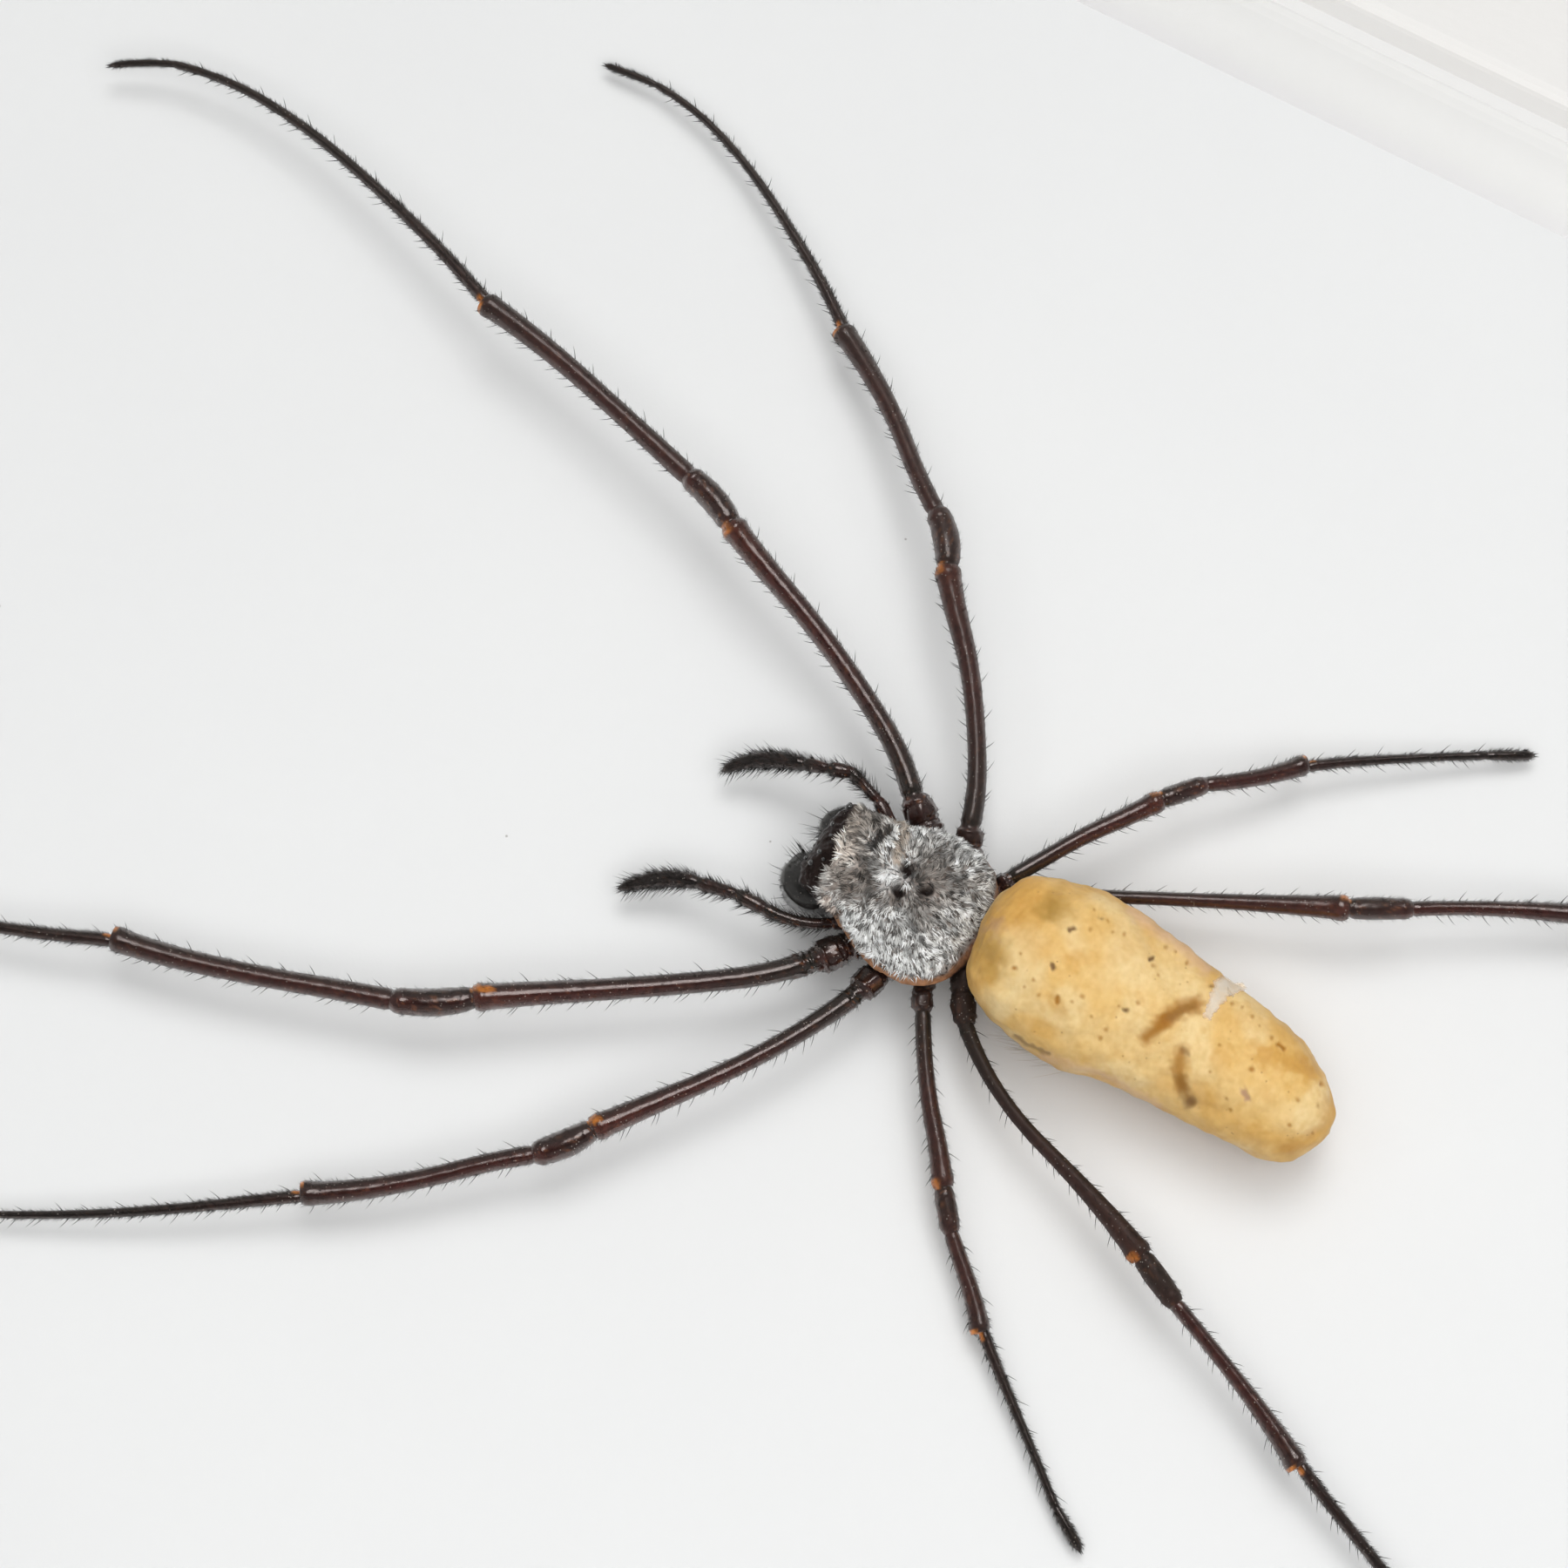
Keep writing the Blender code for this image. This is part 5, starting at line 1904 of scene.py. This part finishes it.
@dataclass(frozen=True)
class Abdomen:
    """The waxy yellow abdomen with its stalk, spinnerets, stains and pits, and a flake of dried film."""

    front: Pixel = (-14.2, 8.1)
    rear: Point = (28.0, -3.9, 5.4)
    rows: int = 320
    sides: int = 230
    # How much closer together the points are on the side that the photograph shows
    crowding: float = 0.4
    sink: float = 0.05
    crease_depth: float = 0.1
    pit_depth: float = 0.08
    band_depth: float = 0.05
    cone_rows: int = 16
    cone_sides: int = 18
    film_rows: int = 44
    film_columns: int = 9
    film_half_thickness: float = 0.02
    film_lift: float = 0.05
    film_tip_lift: float = 0.3
    thread_count: int = 60
    thread: HairKind = HairKind((0.8, 2.2), 0.02, (5, 35), scatter=35, curl=0.5, rings=4)
    # Distance behind the front, X of the middle, half width, height of the middle, half height
    sections: Table = (
        (0.3, -2.7, 1.8, 8.1, 1.1), (0.8, -2.65, 3.25, 8.0, 2.1), (1.6, -2.6, 4.45, 7.75, 3.2),
        (3.0, -2.7, 5.3, 7.4, 4.2), (4.8, -2.75, 5.85, 7.1, 4.85), (7.0, -2.6, 6.15, 6.9, 5.25),
        (9.5, -2.65, 6.2, 6.8, 5.15), (12.8, -2.7, 5.7, 6.4, 4.75), (16.0, -2.75, 5.3, 6.1, 4.4),
        (19.0, -2.9, 4.9, 5.9, 4.2), (22.2, -3.2, 4.65, 5.8, 4.15), (24.7, -3.55, 4.05, 5.6, 3.6),
        (26.5, -3.8, 3.1, 5.5, 2.7), (27.5, -3.9, 1.7, 5.4, 1.5),
    )
    stalk: tuple[Point, Point] = ((-3.2, -15.3, 4.6), (-2.8, -17.4, 5.6))
    spinners: tuple[Point, Point] = ((-3.75, -37.2, 2.6), (-3.85, -38.4, 0.95))
    # For each pair of spinnerets: place along the body, spread, radius, and length as a share
    spinner_rows: Table = (
        (0.55, 0.42, 0.36, 1.0), (0.0, 0.3, 0.22, 0.8), (-0.55, 0.4, 0.34, 0.95)
    )
    # Size and seed of each mottling, the waves that it covers, its strength and its colour
    mottling: tuple[tuple[float, int, float, float, float, Colour], ...] = (
        (5.0, 64, -0.2, 1.1, 0.7, CREAM), (3.0, 65, 0.4, 1.5, 0.4, HONEY), (1.1, 66, 0.5, 1.4, 0.25, HONEY)
    )
    stains: Marks = strokes(
        (HONEY, 42, 0.8, 0.9, (1175, 1030)),
        (HONEY, 18, 0.45, 0.9, (1120, 1120), (1112, 1085), (1130, 1050)),
        (OLIVE, 17, 0.55, 0.85, (1212, 1041)), (OLIVE, 8, 0.5, 0.8, (1206, 1046)),
        (OLIVE, 20, 0.5, 0.85, (1130, 1093)), (OLIVE, 14, 0.35, 0.85, (1146, 1090)),
        (OLIVE, 12, 0.35, 0.8, (1139, 1114)), (MAUVE, 10, 0.5, 0.8, 0.4, (1142, 1062)),
        (HONEY, 11, 0.8, 0.7, 0.25, (1449, 1207), (1480, 1216), (1510, 1231)),
        (UMBER, 12, 0.25, 0.8, (1503, 1219)), (HONEY, 8, 0.45, 0.9, (1240, 1096)),
        (HONEY, 24, 0.28, 0.9, (1300, 1075)),
        (HONEY, 7, 0.7, 0.9, (1470, 1320), (1500, 1312), (1522, 1290), (1534, 1262)),
        (UMBER, 13, 0.3, 0.9, (1482, 1319)),
        (HONEY, 12, 0.3, 0.9, (1340, 1240), (1395, 1275), (1440, 1310)),
        (HONEY, 12, 0.25, 0.9, (1412, 1165), (1470, 1180), (1520, 1230)),
    )
    pale: Marks = strokes(
        (CREAM, 20, 0.9, 0.9, (1170, 1080), (1180, 1120), (1150, 1150)),
        (CREAM, 30, 0.7, 0.9, (1290, 1100), (1345, 1125)),
        (CREAM, 24, 0.45, 0.9, (1240, 1180), (1320, 1210), (1330, 1235)),
        (CREAM, 12, 0.6, 0.9, (1368, 1180), (1350, 1195)),
        (CREAM, 18, 0.3, 0.9, (1405, 1245), (1480, 1275)), (CREAM, 12, 0.5, 0.9, (1497, 1279)),
        (ROSE, 7, 0.5, 0.9, (1300, 1042), (1330, 1065), (1385, 1110)),
        (ROSE, 5, 0.4, 0.9, (1100, 1130), (1106, 1090), (1118, 1056)),
        (ROSE, 5, 0.35, 0.9, (1200, 1212), (1260, 1232), (1330, 1268)),
    )
    bands: Marks = strokes(
        (UMBER, 7, 0.85, 0.95, 0.12, (1316, 1191), (1324, 1183), (1338, 1170)),
        (UMBER, 9, 0.85, 0.8, 0.15, (1336, 1171), (1355, 1157), (1374, 1152)),
        (OCHRE, 5, 0.55, 0.9, 0.12, (1344, 1167), (1358, 1158), (1370, 1154)),
        (UMBER, 7, 0.75, 0.9, 0.15, (1356, 1206), (1352, 1226), (1356, 1246)),
        (OCHRE, 6.5, 0.65, 0.9, 0.12, (1355, 1240), (1361, 1256), (1366, 1264)),
        (SOOT, 3.5, 0.5, 0.8, (1357, 1203), (1362, 1208)),
    )
    pits: Marks = strokes(
        (SOOT, 2.3, 0.9, 0.7, (1228, 1067), (1233, 1065.5)),
        (SOOT, 2.7, 0.9, 0.7, (1208.5, 1107), (1209.5, 1110)),
        (SOOT, 2.5, 0.9, 0.7, (1321, 1099.5), (1325, 1098)),
        (SOOT, 2.8, 0.85, 0.7, (1293.5, 1159.5)), (SOOT, 2.4, 0.8, 0.7, (1264.5, 1052.5)),
        (SOOT, 2.6, 0.7, 0.7, (1390.5, 1131.5)), (SOOT, 6.0, 0.6, 0.8, (1367, 1265)),
        (UMBER, 2.6, 0.9, 0.7, (1468, 1197), (1474, 1201)),
        (UMBER, 3.2, 0.8, 0.8, (1437, 1226)),
        (MAUVE, 3.6, 0.9, 0.7, (1427, 1252), (1432, 1260)),
        (UMBER, 2.6, 0.9, 0.7, (1164.5, 1111)),
        (UMBER, 2.6, 0.9, 0.7, (1214, 1144), (1214, 1150)),
        (UMBER, 2.8, 0.8, 0.7, (1518, 1243)), (UMBER, 2.6, 0.6, 0.8, (1324, 1107)),
    )
    dots: tuple[Pixel, ...] = (
        (1187, 1124), (1193, 1141), (1176, 1132), (1243, 1143), (1231, 1149), (1253, 1166), (1270, 1182),
        (1278, 1069), (1291, 1072), (1272, 1056), (1285, 1154), (1306, 1151), (1389, 1229), (1400, 1198),
        (1412, 1274), (1426, 1155), (1438, 1165), (1414, 1151), (1508, 1301), (1490, 1262), (1350, 1092),
        (1338, 1086), (1363, 1104), (1256, 1044), (1252, 1066), (1330, 1118), (1408, 1260), (1460, 1190),
        (1446, 1176), (1512, 1268), (1480, 1290), (1172, 1094), (1264, 1192),
    )
    # The crease is pressed in and painted dark soot: its own dark line and painted shade in the fold
    crease: Mark = Mark(((1165, 1189), (1173, 1194), (1186, 1200), (1204, 1209)), 2.0, SOOT, 0.6, 0.85, 0.3)
    # Middle of the film and its half width
    film_path: Table = (
        (1431, 1127, 5.0), (1421, 1130, 10.0), (1408, 1131, 13.0), (1399, 1142, 10.5), (1391, 1156, 7.0),
        (1384, 1169, 5.0),
    )

    def _shape(self) -> Sheet:
        """Draws the plain abdomen.

        Returns:
            The plain sheet.
        """
        front_y, front_z = self.front
        back, rear_x, rear_z = self.rear
        first, last = self.sections[0], self.sections[-1]
        table = np.array(
            [(0.0, first[1], 0.02, front_z, 0.02), *self.sections, (back, rear_x, 0.02, rear_z, 0.02)]
        )
        rows = along_rows(table, table[:, [0, 2]], self.rows)
        turns = full_turn(self.sides)
        turns = turns - self.crowding * np.sin(turns - math.atan2(VIEW.back[2], VIEW.back[0]))
        behind, x, wide, z, high = (rows[:, [column]] for column in range(5))
        ring = np.broadcast_arrays(x + wide * np.cos(turns), front_y - behind, z + high * np.sin(turns))
        points = np.stack(ring, axis=-1)
        return Sheet(points, tinted(points.shape[:2], BUFF))

    def sheet(self) -> Sheet:
        """Gives the abdomen its lumps, pits, crease and stains, with painted shade in the crease and towards
        its outline.

        Returns:
            The finished sheet.
        """
        canvas = Canvas(self._shape(), BUFF)
        flat = canvas.flat
        lumps = 0.1 * ripples(flat, 6.0, 61) + 0.04 * ripples(flat, 1.9, 62) + 0.012 * ripples(flat, 0.7, 63)
        canvas.relief = lumps - self.sink
        canvas.press((self.crease,), self.crease_depth)
        canvas.press(self.pits, self.pit_depth)
        canvas.press(self.bands, self.band_depth)
        for size, seed, low, high, share, colour in self.mottling:
            canvas.paint(eased(ripples(flat, size, seed), low, high) * share, colour)
        canvas.paint(eased(canvas.normals[:, 2], -0.1, -0.8) * 0.6, MAUVE)
        # Painted shade: the skin turns a darker honey towards its outline, where it turns away from the
        # camera
        canvas.paint(eased(np.abs(canvas.normals @ VIEW.back), 0.5, 0.05) * 0.3, HONEY)
        canvas.stain((*self.pale, *self.stains, *self.bands, self.crease, *self.pits))
        sizes = 2.0 + 0.5 * np.sin(np.arange(len(self.dots)) * 2.4)
        canvas.stain([Mark((dot,), size, UMBER, 0.65, 0.8) for dot, size in zip(self.dots, sizes)])
        rear = self.front[0] - self.rear[0]
        near_spinners = eased(np.linalg.norm(flat - (-3.7, rear + 5.2, 1.9), axis=1), 2.4, 1.2)
        canvas.paint(near_spinners * 0.8, UMBER)
        return canvas.finished()

    def _cone(self, draft: Draft, start: Array, end: Array, radii: Pixel, colour: Colour) -> None:
        """Adds a short, faintly ringed taper.

        Args:
            draft: Where it goes.
            start: The middle of its first end.
            end: The middle of its last end.
            radii: Its radius at each.
            colour: Its colour.
        """
        run = unit(end - start)
        side = unit(np.cross(run, (0.0, 1.0, 0.3)))
        upper = np.cross(side, run)
        shares = np.linspace(0, 1, self.cone_rows)[:, None]
        ring = spokes(full_turn(self.cone_sides), side, upper)
        radius = radii[0] + (radii[1] - radii[0]) * shares
        radius = radius * (1 + 0.04 * np.sin(shares * 30)) * np.sqrt(np.clip((1.04 - shares) * 8, 0, 1))
        points = (start + (end - start) * shares)[:, None] + ring * radius[..., None]
        draft.tube(Sheet(points, tinted(points.shape[:2], colour)), finish=1)

    def _fittings(self, draft: Draft) -> None:
        """Adds the stalk into the thorax and three pairs of spinnerets.

        Args:
            draft: Where they go.
        """
        start, end = (np.array(place) for place in self.stalk)
        self._cone(draft, end, start, (0.85, 0.66), BROWN)
        start, end = (np.array(place) for place in self.spinners)
        for along, spread, radius, reach in self.spinner_rows:
            for sign in (-1, 1):
                shift = np.array([sign * spread, along, 0.0])
                inner = start + shift + (0.0, 0.0, 0.35)
                outer = start + shift * 0.8 + (end - start) * reach
                self._cone(draft, inner, outer, (radius, radius * 0.55), SOOT)

    def _film(self, sheet: Sheet) -> None:
        """Makes the flake of film, a thin strip that hugs the skin and lifts at its outer tip.

        Args:
            sheet: The finished abdomen.
        """
        canvas = Canvas(sheet, ROSE)
        pixels = np.where(canvas.seen[:, None] > 0.5, canvas.pixels, np.inf)
        marks = np.arange(len(self.film_path), dtype=float)
        outline = curve(marks, np.array(self.film_path), np.linspace(0, marks[-1], self.film_rows))
        path, half = outline[:, :2], outline[:, 2]
        run = unit(np.gradient(path, axis=0))
        sides = np.stack([-run[:, 1], run[:, 0]], axis=1)
        shares = np.linspace(0, 1, self.film_rows)
        offsets = np.linspace(-1, 1, self.film_columns)
        centres, normals = [], []
        for place, wide, side, share in zip(path, half, sides, shares):
            for offset in offsets:
                ragged = 0.12 * math.sin(share * 37 + offset * 3) + 0.1 * math.sin(share * 83 - offset * 2)
                wanted = place + side * wide * offset * (1 + ragged)
                nearest = np.argsort(((pixels - wanted) ** 2).sum(1))[:4]
                normals.append(unit(canvas.normals[nearest].mean(0)))
                wave = 0.02 * math.sin(share * 21 + offset * 2)
                lift = self.film_lift + self.film_tip_lift * float(eased(share, 0.2, 0.0)) + wave
                centres.append(canvas.flat[nearest].mean(0) + normals[-1] * lift)
        shape = (self.film_rows, self.film_columns, 3)
        middle, rise = np.reshape(centres, shape), np.reshape(normals, shape) * self.film_half_thickness
        points = np.concatenate([middle + rise, (middle - rise)[:, ::-1]], axis=1)
        tints = tinted(points.shape[:2], ROSE)
        inside = eased(1 - np.abs(offsets), 0, 0.45)
        ends = eased(0.5 - np.abs(shares - 0.5), 0, 0.08)[:, None]
        tints[..., 3] = 0.14 + 0.5 * ends * np.concatenate([inside, inside])
        draft = Draft()
        draft.tube(Sheet(points, tints))
        draft.piece("abdomen_film", [FILM], PieceSlot.SKIN)

    def _wisps(self, sheet: Sheet) -> None:
        """Makes the whitish threads that hang below the left edge.

        Args:
            sheet: The finished abdomen.
        """
        rng = np.random.default_rng(67)
        low = eased(sheet.points[..., 2], 6.0, 4.0) * eased(sheet.normals[..., 0], -0.5, -0.95)
        near = eased(np.abs(sheet.points[..., 1] + 22.0), 3.2, 1.0)
        bed = sheet.bed(rng, self.thread_count, low * near + 1e-9)
        bed.tints = tinted((self.thread_count,), (0.62, 0.57, 0.5))
        bed.along = unit(np.cross(bed.normals, (0.0, 0.3, 1.0)) + (0.0, 0.0, -0.6))
        hairs = Draft()
        hairs.hairs(rng, bed, self.thread)
        hairs.piece("abdomen_threads", [SILVER_HAIR], PieceSlot.SKIN)

    def build(self) -> None:
        """Makes the abdomen, its film and its threads."""
        sheet = self.sheet()
        draft = Draft()
        draft.tube(sheet)
        self._fittings(draft)
        skin = draft.piece("abdomen_skin", [SKIN, LEG_CUTICLE], PieceSlot.SKIN)
        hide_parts("abdomen")
        self._film(sheet)
        self._wisps(sheet)


@dataclass(frozen=True)
class GlueDab:
    """A dab of glue squeezed out between the board and the body.

    `levels` gives its radius and height, from the board upwards.
    """

    name: str
    middle: Pixel
    levels: tuple[Pixel, ...]
    sides: int = 56
    rows: int = 24

    def build(self) -> None:
        """Makes the dab, a little uneven all round."""
        levels = np.array([*self.levels, (0.05, self.levels[-1][1] + 0.05)])
        rows = along_rows(levels, levels, self.rows)
        turns = full_turn(self.sides)
        radius, height = rows[:, [0]], rows[:, [1]]
        wobble = 0.955 + 0.03 * np.sin(3 * turns + 1) + 0.015 * np.sin(7 * turns)
        x = self.middle[0] + radius * wobble * np.cos(turns)
        y = self.middle[1] + radius * wobble * np.sin(turns)
        points = np.stack(np.broadcast_arrays(x, y, height), axis=-1)
        draft = Draft()
        draft.tube(Sheet(points, tinted(points.shape[:2], SILVER)))
        piece = draft.piece(f"{self.name}_drop", [GLUE], PieceSlot.GLUE)
        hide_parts(self.name)


@dataclass(frozen=True)
class BoxFrame:
    """The box frame, whose solids keep their shapes and get their finishes here.

    `stretch` draws the wood's grain out along each rail.
    """

    long_sides: tuple[str, ...] = ("right", "left")
    short_sides: tuple[str, ...] = ("top", "bottom")
    tabs: int = 6
    stretch: float = 0.12

    def finishes(self) -> dict[str, Finish]:
        """Says which finish each solid has.

        Returns:
            The finishes by the solids' names.
        """
        along_y = PaintedWood("painted_wood_long", stretch=(1.0, self.stretch, 1.0))
        along_x = PaintedWood("painted_wood_short", stretch=(self.stretch, 1.0, 1.0))
        card, steel = WallCard("wall_card_face"), Steel("stamped_steel")
        found: dict[str, Finish] = {f"rail_{side}": along_y for side in self.long_sides}
        found |= {f"rail_{side}": along_x for side in self.short_sides}
        found |= {f"spacer_{side}": card for side in (*self.long_sides, *self.short_sides)}
        found |= {f"panel_tab_{number + 1}": steel for number in range(self.tabs)}
        found["backing_board"] = WhiteBoard("white_paper_board")
        found["back_panel"] = Fibreboard("pressed_fibreboard")
        found["glass_pane"] = ClearGlass("window_glass")
        return found

    def build(self) -> None:
        """Dresses the solids. The glass shades nothing, and the walls don't light the board."""
        for name, finish in self.finishes().items():
            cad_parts[name].material_slots[0].material = finish.material()
            log.info("%s: %s", name, finish.name)
        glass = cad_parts["glass_pane"]
        glass.visible_shadow = False
        glass.visible_diffuse = False
        glass.visible_glossy = False
        for name in WALLS:
            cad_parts[name].visible_diffuse = False


WALLS = tuple(f"{kind}_{side}" for kind in ("rail", "spacer") for side in ("right", "top", "left", "bottom"))


@dataclass(frozen=True)
class SoftLamp:
    """A round lamp: degrees round from +X, degrees up, distance and diameter in millimetres, and power.

    The frame's walls don't block it. It lights only the pieces in `lit`, or all but the glass where that is
    empty. Shiny surfaces mirror it only if it is `mirrored`.
    """

    name: str
    turn: float
    rise: float
    distance: float
    size: float
    power: float
    lit: tuple[str, ...] = ()
    mirrored: bool = True

    def _linked(self, names: Sequence[str], state: str) -> bpy.types.Collection:
        """Gathers pieces of the frame that the lamp leaves out or keeps to.

        Args:
            names: The pieces' names.
            state: EXCLUDE or INCLUDE.

        Returns:
            The collection.
        """
        group = bpy.data.collections.new(f"{self.name}_{state.lower()}")
        for name in names:
            group.objects.link(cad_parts[name])
        for entry in group.collection_objects:
            entry.light_linking.link_state = state
        return group

    def build(self) -> None:
        """Adds the lamp."""
        data = bpy.data.lights.new(self.name, "AREA")
        data.shape = "DISK"
        data.size = self.size * MM
        data.energy = self.power
        lamp = bpy.data.objects.new(self.name, data)
        turn, rise = math.radians(self.turn), math.radians(self.rise)
        side = Vector((math.cos(turn) * math.cos(rise), math.sin(turn) * math.cos(rise), math.sin(rise)))
        lamp.location = (Vector(SPIDER_PLACE) + side * self.distance) * MM
        lamp.rotation_euler = side.to_track_quat("Z", "Y").to_euler()
        lamp.visible_camera = False
        lamp.visible_transmission = False
        lamp.visible_glossy = self.mirrored
        bpy.context.scene.collection.objects.link(lamp)
        linking = lamp.light_linking
        linking.blocker_collection = self._linked(WALLS, "EXCLUDE")
        receivers = (self.lit, "INCLUDE") if self.lit else (("glass_pane",), "EXCLUDE")
        linking.receiver_collection = self._linked(*receivers)


@dataclass(frozen=True)
class Studio:
    """A pale floor, a dim tent of light, and four soft lamps, one of them for the frame's walls alone.

    `tent` gives the tent's brightness by height: the sine of the elevation, mapped from -1..1 to 0..1, and a
    share of `tent_strength`.
    """

    floor_reach: float = 900.0
    floor_cells: int = 12
    floor_top: float = -0.05
    tent_strength: float = 0.26
    tent: tuple[Pixel, ...] = ((0.0, 1.0), (0.5, 1.0), (0.88, 1.0), (0.935, 0.12), (0.97, 0.04))
    lamps: tuple[SoftLamp, ...] = (
        SoftLamp("key_lamp", 18.0, 69.5, 2000.0, 1060.0, 12.5),
        SoftLamp("fill_lamp", -128.0, 66.0, 350.0, 320.0, 0.51, mirrored=False),
        SoftLamp("sky_lamp", 0.0, 90.0, 1500.0, 3000.0, 15.3, mirrored=False),
        SoftLamp("wall_lamp", 197.0, 10.0, 600.0, 400.0, 2.2, WALLS),
    )

    def _floor(self) -> None:
        """A pale sheet, faintly uneven."""
        steps = np.linspace(-self.floor_reach, self.floor_reach, self.floor_cells + 1)
        x, y = np.meshgrid(steps, steps)
        flat = np.stack([x.ravel(), y.ravel()], axis=1)
        heights = np.minimum(0.1 * ripples(flat, 700.0, 71) - 0.25, self.floor_top)
        points = np.column_stack([flat, heights]) * MM
        row = self.floor_cells + 1
        start = (np.arange(self.floor_cells)[:, None] * row + np.arange(self.floor_cells)).ravel()
        faces = np.stack([start, start + 1, start + row + 1, start + row], axis=1)
        mesh = bpy.data.meshes.new("studio_floor")
        mesh.from_pydata(points.tolist(), [], faces.tolist())
        mesh.materials.append(StudioPaper("studio_paper").material())
        mesh.shade_smooth()
        floor = bpy.data.objects.new("studio_floor", mesh)
        bpy.context.scene.collection.objects.link(floor)

    def _tent(self) -> None:
        """Light from all round, dark overhead where the glass would mirror it."""
        world = bpy.data.worlds.new("light_tent")
        world.use_nodes = True
        bpy.context.scene.world = world
        nodes = Nodes(world.node_tree)
        direction = nodes.add("TexCoord", output="Generated")
        rise = nodes.add("SeparateXYZ", {}, {0: direction}, 2) * 0.5 + 0.5
        glow = nodes.add("ValToRGB", {"stops": self.tent}, {0: rise})
        background = world.node_tree.nodes["Background"]
        nodes.feed(background.inputs["Color"], glow)
        nodes.feed(background.inputs["Strength"], self.tent_strength)

    def build(self) -> None:
        """Sets up the floor, the lights and how colours are shown."""
        self._floor()
        self._tent()
        for lamp in self.lamps:
            lamp.build()
        bpy.context.scene.view_settings.view_transform = "Standard"


def limbs() -> list[Limb]:
    """Lists the eight legs and the two palps.

    Returns:
        The limbs.
    """
    legs = [
        Limb(name, root, segments, LEG_WIDTHS[name[-1]], LEG_PARTS, PieceSlot.BROWN)
        for name, (root, segments) in LEGS.items()
    ]
    palps = [
        Limb(name, root, segments, PALP_WIDTHS, PALP_PARTS, PieceSlot.BLACK)
        for name, (root, segments) in PALPS.items()
    ]
    return legs + palps


def main() -> None:
    """Builds the pieces in order."""
    logging.basicConfig(level=logging.INFO, format="%(message)s")
    VIEW.camera()
    Studio().build()
    BoxFrame().build()
    Thorax().build()
    Jaw("right", 2.0, -0.45, 0.92).build()
    Jaw("left", -2.3).build()
    Abdomen().build()
    for limb in limbs():
        limb.build()
    GlueDab("glue_dab_front", (-2.9, -9.9), ((2.9, 0.3), (2.7, 1.0), (2.1, 1.9), (1.6, 2.6))).build()
    GlueDab("glue_dab_rear", (-2.6, -23.5), ((4.2, 0.3), (3.9, 0.7), (2.9, 1.2))).build()


if __name__ == "__main__":
    main()
